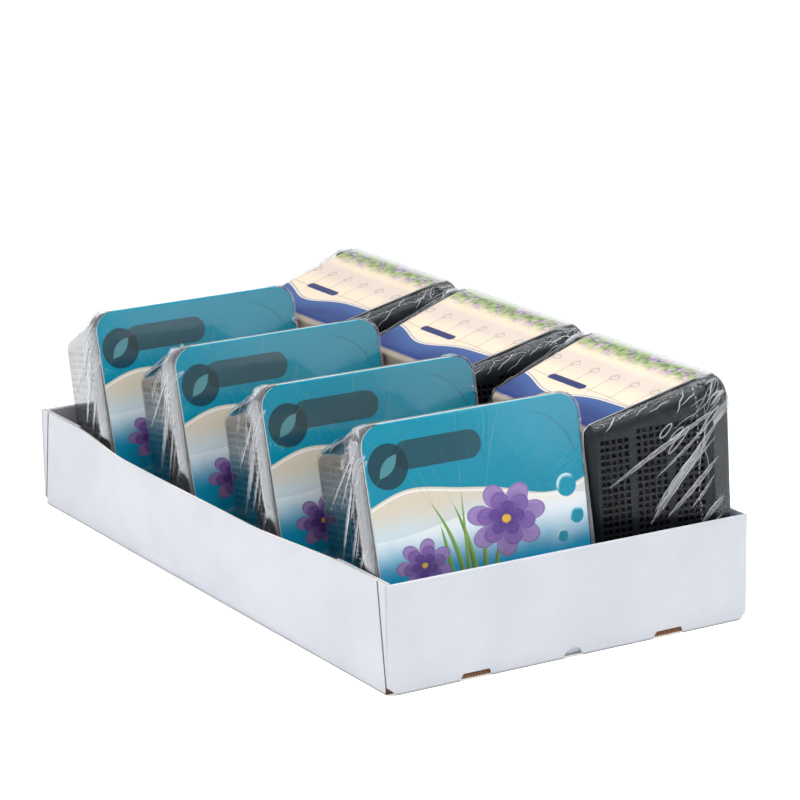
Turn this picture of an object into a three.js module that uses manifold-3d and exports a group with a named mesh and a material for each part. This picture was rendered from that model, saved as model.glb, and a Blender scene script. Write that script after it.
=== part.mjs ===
// A cardboard display tray filled with seven pond basket kits.
// Each kit is a square tapered basket lying on its side, a folded cover card over its
// mouth and a skin of clear shrink film round both. Four kits stand in the left row and
// face the front, and three stand in the right row and face the right wall.
// Millimetres, +Z up, origin under the middle of the whole object on the surface it stands on.

import * as THREE from 'three';
import { mergeVertices } from 'three/addons/utils/BufferGeometryUtils.js';
import Module from 'manifold-3d';

const wasm = await Module();
wasm.setup();

// Tray, folded from one sheet of thin corrugated board
const TRAY_WIDTH = 311.5;
const TRAY_LENGTH = 570;
const TRAY_HEIGHT = 82;
const BOARD = 1.5;
const END_WALL = 3.6;
const END_WALL_CROWN = 1.8;
const CROWN_STEPS = 4;
const LEFT_BOW = 12;
const RIGHT_BOW = 3;
const BULGE = { height: 14, share: 0.45 };
const BOW_RISE = [55, 190];
const BOW_FALL = [385, 510];
const WALL_STEPS = 10;
const FLAP_LENGTH = 72;
const FLAP_PROUD = 0.8;
const FLAP_WELD = 0.2;
const TAB_SLOT = { offset: 84, width: 26, height: 6, depth: 1.2 };
const THUMB_NOTCH_RADIUS = 7;

// Basket
const RIM_SIDE = 184;
const BASE_SIDE = 140;
const BASKET_DEPTH = 107;
const RIM_RADIUS = 14;
const BASE_RADIUS = 10;
const COLLAR_DEPTH = 14;
const COLLAR_TAPER = 0.6;
const BASE_CHAMFER = 4;
const BASKET_WALL = 1.6;
const CHAMFER_INSET = 0.7;
const BAND_RELIEF = 0.7;
const BAND_WIDTH = 20;
const BAND_HEIGHT = 130;
const BAND_DEPTHS = [31, 60.5, 90];
const BASE_BANDS = 3;
const BASE_BAND_WIDTH = 24;
const BASE_BAND_HEIGHT = 84;
const BASE_BAND_PITCH = 31;

// Cover card
const CARD = 0.8;
const CARD_NARROWING = 5;
const CARD_CORNER = 16.5;
const CARD_BASE_HALF = 61;
const CARD_BASE_FLAP = 48;
const CARD_TAPER = 4;
const FOLD_OVERLAP = 3;

// Shrink film
const FILM = 0.4;
const VENT_RADIUS = 6;
const VENT_LENGTH = 8;
const VENT_HEIGHT = -25;
const VENT_SIDES = 8;

// Gap kept between pieces that touch
const TOUCH_GAP = 0.3;
const CORNER_STEPS = 3;

// Where each kit's rim stands, from the tray's front left corner: middle of its lower edge,
// how far its face leans back from upright and how far it is turned from its row
const LEFT_KITS = [
  { along: 96.2, across: 6.3, lean: 12.3, turn: 0.2 },
  { along: 90.8, across: 141.3, lean: 12.3, turn: 0 },
  { along: 92.0, across: 282.7, lean: 12.3, turn: 1 },
  { along: 93.1, across: 423.9, lean: 12.3, turn: 1 },
];
const RIGHT_KITS = [
  { along: 306.2, across: 99.5, lean: 3.2, turn: 0.2 },
  { along: 306.2, across: 285.3, lean: 3.2, turn: 0.5 },
  { along: 306.0, across: 471.1, lean: 3.2, turn: 0.2 },
];

// Colours
const MATERIALS = {
  board: new THREE.MeshStandardMaterial({ color: 0xe6e8ec, roughness: 0.6, metalness: 0 }),
  plastic: new THREE.MeshStandardMaterial({ color: 0x17181b, roughness: 0.35, metalness: 0 }),
  card: new THREE.MeshStandardMaterial({ color: 0x1b90b0, roughness: 0.3, metalness: 0 }),
  film: new THREE.MeshStandardMaterial({
    color: 0xf4f8fa, roughness: 0.08, metalness: 0, transparent: true, opacity: 0.2,
  }),
};

// Solids and booleans

function toSolid(geometry) {
  const bare = geometry.clone();
  bare.deleteAttribute('normal');
  bare.deleteAttribute('uv');
  const merged = mergeVertices(bare, 1e-4);
  return new wasm.Manifold(new wasm.Mesh({
    numProp: 3,
    vertProperties: new Float32Array(merged.attributes.position.array),
    triVerts: new Uint32Array(merged.index.array),
  }));
}

function toGeometry(solid) {
  const mesh = solid.getMesh();
  const geometry = new THREE.BufferGeometry();
  geometry.setAttribute('position', new THREE.BufferAttribute(new Float32Array(mesh.vertProperties), 3));
  geometry.setIndex(new THREE.BufferAttribute(new Uint32Array(mesh.triVerts), 1));
  return geometry;
}

function solidFromFaces(points, faces) {
  const geometry = new THREE.BufferGeometry();
  geometry.setAttribute('position', new THREE.Float32BufferAttribute(points.flat(), 3));
  geometry.setIndex(faces.flat());
  return toSolid(geometry);
}

function boxSolid(low, high) {
  const size = high.map((value, axis) => value - low[axis]);
  const geometry = new THREE.BoxGeometry(...size);
  geometry.translate(...low.map((value, axis) => value + size[axis] / 2));
  return toSolid(geometry);
}

function joined(solids) {
  return solids.reduce((whole, next) => whole.add(next));
}

// A closed skin over rings of equal length, the first and last ring closed by fans
function ringSolid(rings) {
  const count = rings[0].length;
  const points = rings.flat();
  const faces = [];
  for (let ring = 0; ring + 1 < rings.length; ring += 1) {
    for (let side = 0; side < count; side += 1) {
      const next = (side + 1) % count;
      const [a, b] = [ring * count + side, ring * count + next];
      faces.push([a, b, b + count], [a, b + count, a + count]);
    }
  }
  const last = (rings.length - 1) * count;
  for (let side = 1; side + 1 < count; side += 1) {
    faces.push([0, side + 1, side], [last, last + side, last + side + 1]);
  }
  return solidFromFaces(points, faces);
}

// Ring of a rounded rectangle in the kit's own frame: x across, y up, z out of the mouth
function roundedRing({ half, low, high, radius, depth }) {
  const ring = [];
  const corners = [
    [half - radius, low + radius, -90],
    [half - radius, high - radius, 0],
    [-half + radius, high - radius, 90],
    [-half + radius, low + radius, 180],
  ];
  for (const [x, y, start] of corners) {
    for (let step = 0; step <= CORNER_STEPS; step += 1) {
      const angle = THREE.MathUtils.degToRad(start + (90 * step) / CORNER_STEPS);
      ring.push([x + radius * Math.cos(angle), y + radius * Math.sin(angle), -depth]);
    }
  }
  return ring;
}

function squareRing(half, radius, depth) {
  return roundedRing({ half, low: -half, high: half, radius, depth });
}

// Half the basket's side at a depth below its rim, along the straight wall
function wallHalf(depth) {
  return THREE.MathUtils.lerp(RIM_SIDE / 2, BASE_SIDE / 2, depth / BASKET_DEPTH);
}

function wallRadius(depth) {
  return THREE.MathUtils.lerp(RIM_RADIUS, BASE_RADIUS, depth / BASKET_DEPTH);
}

// Where the straight wall meets the chamfer round the base
const SHOULDER_DEPTH = BASKET_DEPTH - BASE_CHAMFER;
const SHOULDER_HALF = wallHalf(SHOULDER_DEPTH);
const BASE_HALF = BASE_SIDE / 2 - BASE_CHAMFER;

// The basket's outer form, or the same form shrunk by an inset
function basketForm(inset) {
  return ringSolid([
    squareRing(BASE_HALF - inset, BASE_RADIUS - 1, BASKET_DEPTH - inset),
    squareRing(SHOULDER_HALF - inset, BASE_RADIUS, SHOULDER_DEPTH - inset),
    squareRing(wallHalf(COLLAR_DEPTH) - inset, wallRadius(COLLAR_DEPTH), COLLAR_DEPTH + 1),
    squareRing(RIM_SIDE / 2 - COLLAR_TAPER - inset, RIM_RADIUS, COLLAR_DEPTH),
    squareRing(RIM_SIDE / 2 - inset, RIM_RADIUS, 0),
  ]);
}

// Basket: a collared shell with three shallow bands in each side and three in its base,
// where the mesh of small holes lies
function makeBasket() {
  const floorDepth = BASKET_DEPTH - BASKET_WALL;
  const innerShoulder = SHOULDER_DEPTH - CHAMFER_INSET;
  const inner = ringSolid([
    squareRing(BASE_HALF - CHAMFER_INSET, BASE_RADIUS - 1, floorDepth),
    squareRing(wallHalf(innerShoulder) - BASKET_WALL, BASE_RADIUS, innerShoulder),
    squareRing(wallHalf(0) - BASKET_WALL, wallRadius(0), -1),
  ]);
  const cutters = [];
  const reach = RIM_SIDE;
  for (const depth of BAND_DEPTHS) {
    const [low, high] = [-depth - BAND_WIDTH / 2, -depth + BAND_WIDTH / 2];
    const tall = Math.min(BAND_HEIGHT / 2, wallHalf(depth) - wallRadius(depth) - 2);
    cutters.push(boxSolid([-reach, -tall, low], [reach, tall, high]));
    cutters.push(boxSolid([-tall, -reach, low], [tall, reach, high]));
  }
  for (let band = 0; band < BASE_BANDS; band += 1) {
    const x = (band - (BASE_BANDS - 1) / 2) * BASE_BAND_PITCH;
    cutters.push(boxSolid(
      [x - BASE_BAND_WIDTH / 2, -BASE_BAND_HEIGHT / 2, -BASKET_DEPTH - 1],
      [x + BASE_BAND_WIDTH / 2, BASE_BAND_HEIGHT / 2, -floorDepth],
    ));
  }
  const relief = joined(cutters).subtract(basketForm(BAND_RELIEF));
  return basketForm(0).subtract(inner).subtract(relief);
}

// Cover card: a front panel over the mouth, a fold over the upper rim, a panel down the
// upper side and a short flap over the base

function frontPanelShape() {
  const top = RIM_SIDE / 2;
  const bottom = -RIM_SIDE / 2;
  const lowHalf = top - CARD_NARROWING;
  const shape = new THREE.Shape();
  shape.moveTo(-lowHalf + CARD_CORNER, bottom);
  shape.lineTo(lowHalf - CARD_CORNER, bottom);
  shape.quadraticCurveTo(lowHalf, bottom, lowHalf, bottom + CARD_CORNER);
  shape.lineTo(top, top - CARD_CORNER);
  shape.quadraticCurveTo(top, top, top - CARD_CORNER, top);
  shape.lineTo(-top + CARD_CORNER, top);
  shape.quadraticCurveTo(-top, top, -top, top - CARD_CORNER);
  shape.lineTo(-lowHalf, bottom + CARD_CORNER);
  shape.quadraticCurveTo(-lowHalf, bottom, -lowHalf + CARD_CORNER, bottom);
  return shape;
}

// A folded strip: inner and outer lines in the y and z plane, with a half width at each point
function stripSolid(stations) {
  const rings = stations.map(({ half, inner, outer }) => [
    [-half, outer[0], outer[1]],
    [half, outer[0], outer[1]],
    [half, inner[0], inner[1]],
    [-half, inner[0], inner[1]],
  ]);
  return ringSolid(rings);
}

function makeCard() {
  const front = new THREE.ExtrudeGeometry(frontPanelShape(), {
    depth: CARD, bevelEnabled: false, curveSegments: CORNER_STEPS,
  });
  front.translate(0, 0, TOUCH_GAP);
  const foldHalf = RIM_SIDE / 2 - CARD_CORNER;
  const rimTop = RIM_SIDE / 2 + TOUCH_GAP;
  const collarTop = RIM_SIDE / 2 - COLLAR_TAPER + TOUCH_GAP;
  const shoulderTop = SHOULDER_HALF + TOUCH_GAP;
  const baseTop = BASE_HALF + TOUCH_GAP;
  const baseBack = -BASKET_DEPTH - TOUCH_GAP;
  const strip = stripSolid([
    {
      half: foldHalf,
      inner: [rimTop - FOLD_OVERLAP, TOUCH_GAP],
      outer: [rimTop - FOLD_OVERLAP, TOUCH_GAP + CARD],
    },
    { half: foldHalf, inner: [rimTop, TOUCH_GAP], outer: [rimTop + CARD, TOUCH_GAP + CARD] },
    {
      half: foldHalf - CARD_TAPER / 3,
      inner: [collarTop, -COLLAR_DEPTH - CARD / 2],
      outer: [collarTop + CARD, -COLLAR_DEPTH],
    },
    {
      half: CARD_BASE_HALF,
      inner: [shoulderTop, -SHOULDER_DEPTH],
      outer: [shoulderTop + CARD, -SHOULDER_DEPTH - CARD / 2],
    },
    {
      half: CARD_BASE_HALF,
      inner: [baseTop, baseBack],
      outer: [baseTop + CARD / 2, baseBack - CARD],
    },
    {
      half: CARD_BASE_HALF - CARD_TAPER,
      inner: [baseTop - CARD_BASE_FLAP, baseBack],
      outer: [baseTop - CARD_BASE_FLAP, baseBack - CARD],
    },
  ]);
  return toSolid(front).add(strip);
}

// Shrink film: a thin skin round basket and card, with a vent hole over the base

function filmSkin(offset) {
  const grow = TOUCH_GAP + offset;
  const cardGrow = TOUCH_GAP + CARD + grow;
  const section = (half, radius, depth) => roundedRing({
    half: half + grow, low: -half - grow, high: half + cardGrow, radius: radius + grow, depth,
  });
  return ringSolid([
    section(BASE_HALF, BASE_RADIUS - 1, BASKET_DEPTH + cardGrow),
    section(SHOULDER_HALF, BASE_RADIUS, SHOULDER_DEPTH + cardGrow / 2),
    section(RIM_SIDE / 2 - COLLAR_TAPER, RIM_RADIUS, COLLAR_DEPTH + 1),
    section(RIM_SIDE / 2, RIM_RADIUS, -cardGrow),
  ]);
}

function makeFilm() {
  const vent = new THREE.CylinderGeometry(VENT_RADIUS, VENT_RADIUS, VENT_LENGTH, VENT_SIDES);
  vent.rotateX(Math.PI / 2);
  vent.translate(0, VENT_HEIGHT, -BASKET_DEPTH - CARD - 2 * TOUCH_GAP);
  return filmSkin(FILM).subtract(filmSkin(0)).subtract(toSolid(vent));
}

// Tray: worked out from its front left corner, then moved under the middle

function smoothStep([from, to], value) {
  const t = THREE.MathUtils.clamp((value - from) / (to - from), 0, 1);
  return t * t * (3 - 2 * t);
}

// Share of a long wall's full bow at a distance from the front
function bowShare(y) {
  return smoothStep(BOW_RISE, y) * (1 - smoothStep(BOW_FALL, y));
}

// A slab along a long wall, from one inset from the wall's outer face to another.
// Its foot is straight. Above that it bulges out by the wall's bow, quickly at first.
function longWallSlab({ side, bow, insets, stations, height }) {
  const outerFoot = side < 0 ? 0 : TRAY_WIDTH;
  const levels = [[0, 0], [BULGE.height, BULGE.share], [height, 1]];
  const rings = stations.map((y) => {
    const reach = bow * bowShare(y);
    const line = (inset) => levels.map(([z, share]) => [outerFoot + side * (reach * share - inset), y, z]);
    const ring = [...line(insets[0]).reverse(), ...line(insets[1])];
    return side < 0 ? ring.reverse() : ring;
  });
  return ringSolid(rings);
}

// A long wall with the corner flaps folded in at its ends
function longWall(side, bow) {
  const [flapFront, flapRear] = [FLAP_LENGTH, TRAY_LENGTH - FLAP_LENGTH];
  const stations = [0];
  for (let step = 0; step <= WALL_STEPS; step += 1) {
    stations.push(THREE.MathUtils.lerp(flapFront, flapRear, step / WALL_STEPS));
  }
  stations.push(TRAY_LENGTH);
  const wall = longWallSlab({ side, bow, insets: [0, BOARD], stations, height: TRAY_HEIGHT });
  const spans = [[END_WALL / 2, flapFront], [flapRear, TRAY_LENGTH - END_WALL / 2]];
  const flaps = spans.map((stations) => longWallSlab({
    side, bow, insets: [BOARD - FLAP_WELD, 2 * BOARD], stations, height: TRAY_HEIGHT + FLAP_PROUD,
  }));
  return joined([wall, ...flaps]);
}

// An end wall of rolled-over board, its profile drawn in the y and z plane and carried along x
function endWall() {
  const profile = new THREE.Shape();
  profile.moveTo(0, 0);
  profile.lineTo(END_WALL, 0);
  profile.lineTo(END_WALL, TRAY_HEIGHT - END_WALL_CROWN);
  profile.quadraticCurveTo(END_WALL, TRAY_HEIGHT, END_WALL / 2, TRAY_HEIGHT);
  profile.quadraticCurveTo(0, TRAY_HEIGHT, 0, TRAY_HEIGHT - END_WALL_CROWN);
  const slab = new THREE.ExtrudeGeometry(profile, {
    depth: TRAY_WIDTH, bevelEnabled: false, curveSegments: CROWN_STEPS,
  });
  slab.applyMatrix4(new THREE.Matrix4().makeBasis(
    new THREE.Vector3(0, 1, 0), new THREE.Vector3(0, 0, 1), new THREE.Vector3(1, 0, 0),
  ));
  const middle = TRAY_WIDTH / 2;
  const notch = new THREE.CylinderGeometry(THUMB_NOTCH_RADIUS, THUMB_NOTCH_RADIUS, 2 * TAB_SLOT.depth, 16);
  notch.translate(middle, 0, 0);
  const cutters = [toSolid(notch)];
  for (const way of [-1, 1]) {
    const x = middle + way * TAB_SLOT.offset;
    cutters.push(boxSolid(
      [x - TAB_SLOT.width / 2, -1, -1],
      [x + TAB_SLOT.width / 2, TAB_SLOT.depth, TAB_SLOT.height],
    ));
  }
  return toSolid(slab).subtract(joined(cutters));
}

function makeTray() {
  const floor = boxSolid([0, 0, 0], [TRAY_WIDTH, TRAY_LENGTH, BOARD]);
  const front = endWall();
  const rear = front.mirror([0, 1, 0]).translate([0, TRAY_LENGTH, 0]);
  return joined([floor, longWall(-1, LEFT_BOW), longWall(1, RIGHT_BOW), front, rear]);
}

// Placing

function namedMesh(name, geometry, material) {
  const mesh = new THREE.Mesh(geometry, material);
  mesh.name = name;
  return mesh;
}

// Height of a kit's rim centre that brings the film's lowest edge just above the tray's floor
function restHeight(leanAngle) {
  const grow = TOUCH_GAP + FILM;
  const cardGrow = TOUCH_GAP + CARD + grow;
  const edges = [
    [RIM_SIDE / 2, -cardGrow],
    [RIM_SIDE / 2 - COLLAR_TAPER, COLLAR_DEPTH + 1],
    [SHOULDER_HALF, SHOULDER_DEPTH + cardGrow / 2],
    [BASE_HALF, BASKET_DEPTH + cardGrow],
  ];
  const [cos, sin] = [Math.cos(leanAngle), Math.sin(leanAngle)];
  const drops = edges.map(([half, depth]) => (half + grow) * cos + depth * sin);
  return BOARD + TOUCH_GAP + Math.max(...drops);
}

// A kit's frame stands its mouth towards -Y, leans it back about its own X and turns it about Z
function placeKit(group, { along, across, lean, turn }, rowTurn) {
  const leanAngle = THREE.MathUtils.degToRad(lean);
  const turnAngle = THREE.MathUtils.degToRad(rowTurn + turn);
  const back = Math.sin(leanAngle) * (RIM_SIDE / 2);
  group.rotation.set(Math.PI / 2 - leanAngle, 0, turnAngle, 'ZYX');
  group.position.set(
    along - Math.sin(turnAngle) * back,
    across + Math.cos(turnAngle) * back,
    restHeight(leanAngle),
  );
}

const kitParts = {
  basket: [toGeometry(makeBasket()), MATERIALS.plastic],
  card: [toGeometry(makeCard()), MATERIALS.card],
  film: [toGeometry(makeFilm()), MATERIALS.film],
};

const part = new THREE.Group();
part.add(namedMesh('tray', toGeometry(makeTray()), MATERIALS.board));
for (const [row, kits, rowTurn] of [['left', LEFT_KITS, 0], ['right', RIGHT_KITS, 90]]) {
  kits.forEach((place, index) => {
    const kit = new THREE.Group();
    for (const [piece, [geometry, material]] of Object.entries(kitParts)) {
      kit.add(namedMesh(`${piece}_${row}_${index + 1}`, geometry, material));
    }
    placeKit(kit, place, rowTurn);
    part.add(kit);
  });
}
part.position.set(-(TRAY_WIDTH + RIGHT_BOW - LEFT_BOW) / 2, -TRAY_LENGTH / 2, 0);

export default part;
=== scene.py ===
"""A board display tray with seven film-wrapped pond basket kits, built round its CAD frame.

Metres, +Z up.
"""

import logging
from dataclasses import dataclass
from enum import Enum
from math import cos, pi, radians, sin
from typing import Iterable, Sequence, Union

import bpy
import numpy as np
from mathutils import Matrix, Vector


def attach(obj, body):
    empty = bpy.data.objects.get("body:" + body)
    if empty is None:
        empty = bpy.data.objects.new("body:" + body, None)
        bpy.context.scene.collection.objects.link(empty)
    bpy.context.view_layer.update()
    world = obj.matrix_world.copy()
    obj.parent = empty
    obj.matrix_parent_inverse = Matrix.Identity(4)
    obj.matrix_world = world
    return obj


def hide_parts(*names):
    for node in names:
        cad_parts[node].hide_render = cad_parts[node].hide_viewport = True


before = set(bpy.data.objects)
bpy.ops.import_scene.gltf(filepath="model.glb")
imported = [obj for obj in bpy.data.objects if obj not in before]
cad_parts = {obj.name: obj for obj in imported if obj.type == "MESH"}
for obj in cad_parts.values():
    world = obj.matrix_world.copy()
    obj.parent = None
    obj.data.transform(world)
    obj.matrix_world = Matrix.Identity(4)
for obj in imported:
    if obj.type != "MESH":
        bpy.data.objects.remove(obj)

LOG = logging.getLogger("tray_of_kits")
MM = 0.001
BODY = "root"
CHART = "Chart"
SHARP_ANGLE = 35
MERGE_STEP = 2e-6
FLUTES = 2 * pi / (2.4 * MM)
SKIN_SEED = 7
PLEAT_SEED = 30
FILM_CLEAR = (0.97, 0.98, 0.985, 1)
FILM_SHEEN = (0.88, 0.89, 0.91, 1)


# Helpers for colours, node trees and meshes


def srgb(red: int, green: int, blue: int) -> tuple[float, float, float, float]:
    """Linear colour of a screen colour given as three numbers from 0 to 255."""
    shares = np.array([red, green, blue]) / 255
    low, high = shares / 12.92, ((shares + 0.055) / 1.055) ** 2.4
    return (*np.where(shares <= 0.04045, low, high).tolist(), 1.0)


def smooth(low: float, high: float, value: np.ndarray) -> np.ndarray:
    """Smooth step: 0 below low, 1 above high, 3t^2 - 2t^3 between, t being the share of the way.

    Args:
        low: where the step starts.
        high: where it ends.
        value: the numbers to step.

    Returns:
        The steps, each from 0 to 1.
    """
    t = np.clip((value - low) / (high - low), 0, 1)
    return t * t * (3 - 2 * t)


@dataclass(frozen=True)
class Field:
    """A number that varies over a surface, carried by one output socket of a material's nodes."""

    book: "NodeBook"
    socket: bpy.types.NodeSocket

    def __add__(self, other: "Term") -> "Field":
        """Sum."""
        return self.book.math("ADD", self, other)

    def __sub__(self, other: "Term") -> "Field":
        """Difference."""
        return self.book.math("SUBTRACT", self, other)

    def __rsub__(self, other: "Term") -> "Field":
        """Difference with a plain number first."""
        return self.book.math("SUBTRACT", other, self)

    def __mul__(self, other: "Term") -> "Field":
        """Product."""
        return self.book.math("MULTIPLY", self, other)

    def __truediv__(self, other: "Term") -> "Field":
        """Quotient."""
        return self.book.math("DIVIDE", self, other)

    def __pow__(self, other: "Term") -> "Field":
        """Power."""
        return self.book.math("POWER", self, other)

    def __abs__(self) -> "Field":
        """Size without its sign."""
        return self.book.math("ABSOLUTE", self)

    def sine(self) -> "Field":
        """Sine."""
        return self.book.math("SINE", self)

    def fraction(self) -> "Field":
        """What is left above the whole number below."""
        return self.book.math("FRACT", self)

    def clamp(self) -> "Field":
        """Kept between 0 and 1."""
        return self.book.math("MAXIMUM", self.book.math("MINIMUM", self, 1.0), 0.0)

    def at_least(self, other: "Term") -> "Field":
        """The larger of the two."""
        return self.book.math("MAXIMUM", self, other)

    def step(self, low: float, high: float, start: float = 0.0, end: float = 1.0) -> "Field":
        """Smooth step from start to end as the number goes from low to high."""
        inputs = {"Value": self, "From Min": low, "From Max": high, "To Min": start, "To Max": end}
        node = self.book.node("ShaderNodeMapRange", inputs, interpolation_type="SMOOTHSTEP")
        return Field(self.book, node.outputs["Result"])


Term = Union[Field, float]


class NodeBook:
    """The nodes of one material, added and joined in short calls."""

    def __init__(self, name: str) -> None:
        """Starts an empty material of that name."""
        self.material = bpy.data.materials.new(name)
        self.material.use_nodes = True
        self.tree = self.material.node_tree
        self.tree.nodes.clear()
        self.output = self.tree.nodes.new("ShaderNodeOutputMaterial")

    def feed(self, socket: bpy.types.NodeSocket, value: object) -> None:
        """Joins a field or socket to an input, or sets the input to a plain value."""
        if isinstance(value, Field):
            self.tree.links.new(value.socket, socket)
        elif isinstance(value, bpy.types.NodeSocket):
            self.tree.links.new(value, socket)
        else:
            socket.default_value = value

    def node(self, kind: str, inputs: dict, **settings: object) -> bpy.types.Node:
        """Adds a node.

        Args:
            kind: its type's name.
            inputs: values, fields or sockets by input name or number.
            **settings: the node's own properties.

        Returns:
            The new node.
        """
        node = self.tree.nodes.new(kind)
        for key, value in settings.items():
            setattr(node, key, value)
        for key, value in inputs.items():
            self.feed(node.inputs[key], value)
        return node

    def math(self, operation: str, *terms: Term) -> Field:
        """One Math node over its terms."""
        node = self.node("ShaderNodeMath", dict(enumerate(terms)), operation=operation)
        return Field(self, node.outputs[0])

    def axes(self, vector: bpy.types.NodeSocket) -> tuple[Field, Field, Field]:
        """The three parts of a vector."""
        parts = self.node("ShaderNodeSeparateXYZ", {0: vector}).outputs
        return Field(self, parts[0]), Field(self, parts[1]), Field(self, parts[2])

    def vector(self, x: Term, y: Term, z: Term = 0.0) -> bpy.types.NodeSocket:
        """A vector from three parts."""
        return self.node("ShaderNodeCombineXYZ", {0: x, 1: y, 2: z}).outputs[0]

    def place(self) -> bpy.types.NodeSocket:
        """Object coordinates."""
        return self.node("ShaderNodeTexCoord", {}).outputs["Object"]

    def chart(self) -> tuple[Field, Field]:
        """The two parts of the piece's own UV map."""
        node = self.node("ShaderNodeUVMap", {}, uv_map=CHART)
        return self.axes(node.outputs[0])[:2]

    def noise(
        self, at: bpy.types.NodeSocket, scale: float, detail: float = 2.0, rough: float = 0.5
    ) -> Field:
        """Noise from 0 to 1 at a vector."""
        inputs = {"Vector": at, "Scale": scale, "Detail": detail, "Roughness": rough}
        return Field(self, self.node("ShaderNodeTexNoise", inputs).outputs[0])

    def mix(self, share: Term, low: object, high: object) -> bpy.types.NodeSocket:
        """Colour that goes from low to high with share."""
        node = self.node("ShaderNodeMix", {}, data_type="RGBA")
        self.feed(node.inputs[0], share)
        self.feed(node.inputs[6], low)
        self.feed(node.inputs[7], high)
        return node.outputs[2]

    def bump(self, height: Field, distance: float, strength: float = 1.0) -> bpy.types.NodeSocket:
        """Normal of a relief: a height from 0 to 1 over that distance in metres."""
        inputs = {"Height": height, "Distance": distance, "Strength": strength}
        return self.node("ShaderNodeBump", inputs).outputs[0]

    def facing(self, normal: bpy.types.NodeSocket) -> Field:
        """How far the surface turns edge-on, from 0 to 1."""
        inputs = {"Blend": 0.5, "Normal": normal}
        return Field(self, self.node("ShaderNodeLayerWeight", inputs).outputs["Facing"])

    def film(
        self, shine: Field, rough: float, haze: Field, milk: dict, normal: bpy.types.NodeSocket
    ) -> bpy.types.Material:
        """The finished material of clear film: a see-through sheet that mirrors, milky in places.

        Args:
            shine: the share that mirrors.
            rough: how rough the mirroring is.
            haze: the share that is milky.
            milk: the milky part's Principled inputs.
            normal: its relief.

        Returns:
            The material.
        """
        gloss = {"Color": FILM_SHEEN, "Roughness": rough, "Normal": normal}
        skin = self.node("ShaderNodeMixShader", {
            0: shine.clamp(),
            1: self.node("ShaderNodeBsdfTransparent", {"Color": FILM_CLEAR}).outputs[0],
            2: self.node("ShaderNodeBsdfGlossy", gloss).outputs[0],
        })
        shader = self.node("ShaderNodeMixShader", {
            0: haze.clamp(),
            1: skin.outputs[0],
            2: self.principled({**milk, "Normal": normal}),
        })
        return self.finish(shader.outputs[0])

    def principled(self, inputs: dict) -> bpy.types.NodeSocket:
        """A Principled shader with these inputs."""
        return self.node("ShaderNodeBsdfPrincipled", inputs).outputs[0]

    def surface(
        self, colour: object, rough: Term, normal: bpy.types.NodeSocket, specular: float = 0.5
    ) -> bpy.types.Material:
        """The finished material of one Principled shader.

        Args:
            colour: its base colour.
            rough: its roughness.
            normal: its relief.
            specular: its specular level.

        Returns:
            The material.
        """
        return self.finish(self.principled({
            "Base Color": colour,
            "Roughness": rough,
            "Specular IOR Level": specular,
            "Normal": normal,
        }))

    def finish(self, shader: bpy.types.NodeSocket) -> bpy.types.Material:
        """Joins the shader to the output and gives the material."""
        self.feed(self.output.inputs["Surface"], shader)
        return self.material


@dataclass
class Patch:
    """Part of a mesh: points, four-cornered faces, their material slot and, if any, their UVs."""

    points: np.ndarray
    faces: np.ndarray
    slot: int = 0
    charts: Union[np.ndarray, None] = None

    def corner_charts(self) -> np.ndarray:
        """UVs for each corner of each face, zero where the patch has none."""
        if self.charts is None:
            return np.zeros((len(self.faces), 4, 2))
        return self.charts


def grid_faces(rows: int, columns: int, closed: bool = False, flip: bool = False) -> np.ndarray:
    """Faces of a grid of points kept row by row.

    Args:
        rows: number of rows of points.
        columns: number of points in a row.
        closed: whether each row's last point joins its first.
        flip: whether to turn the faces round.

    Returns:
        An array of four point numbers for each face.
    """
    row, column = np.meshgrid(
        np.arange(rows - 1), np.arange(columns if closed else columns - 1), indexing="ij"
    )
    after = (column + 1) % columns
    quads = np.stack(
        [
            row * columns + column,
            row * columns + after,
            (row + 1) * columns + after,
            (row + 1) * columns + column,
        ],
        axis=-1,
    ).reshape(-1, 4)
    return quads[:, ::-1] if flip else quads


def grid_patch(
    surface: np.ndarray, slot: int = 0, flip: bool = False, chart: Union[np.ndarray, None] = None
) -> Patch:
    """Patch over a grid of points.

    Args:
        surface: points as an array of rows, columns and three axes.
        slot: the material slot of its faces.
        flip: whether to turn the faces round.
        chart: UVs as an array of rows, columns and two axes.

    Returns:
        The patch.
    """
    rows, columns = surface.shape[:2]
    faces = grid_faces(rows, columns, flip=flip)
    charts = None if chart is None else chart.reshape(-1, 2)[faces]
    return Patch(surface.reshape(-1, 3), faces, slot, charts)


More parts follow.
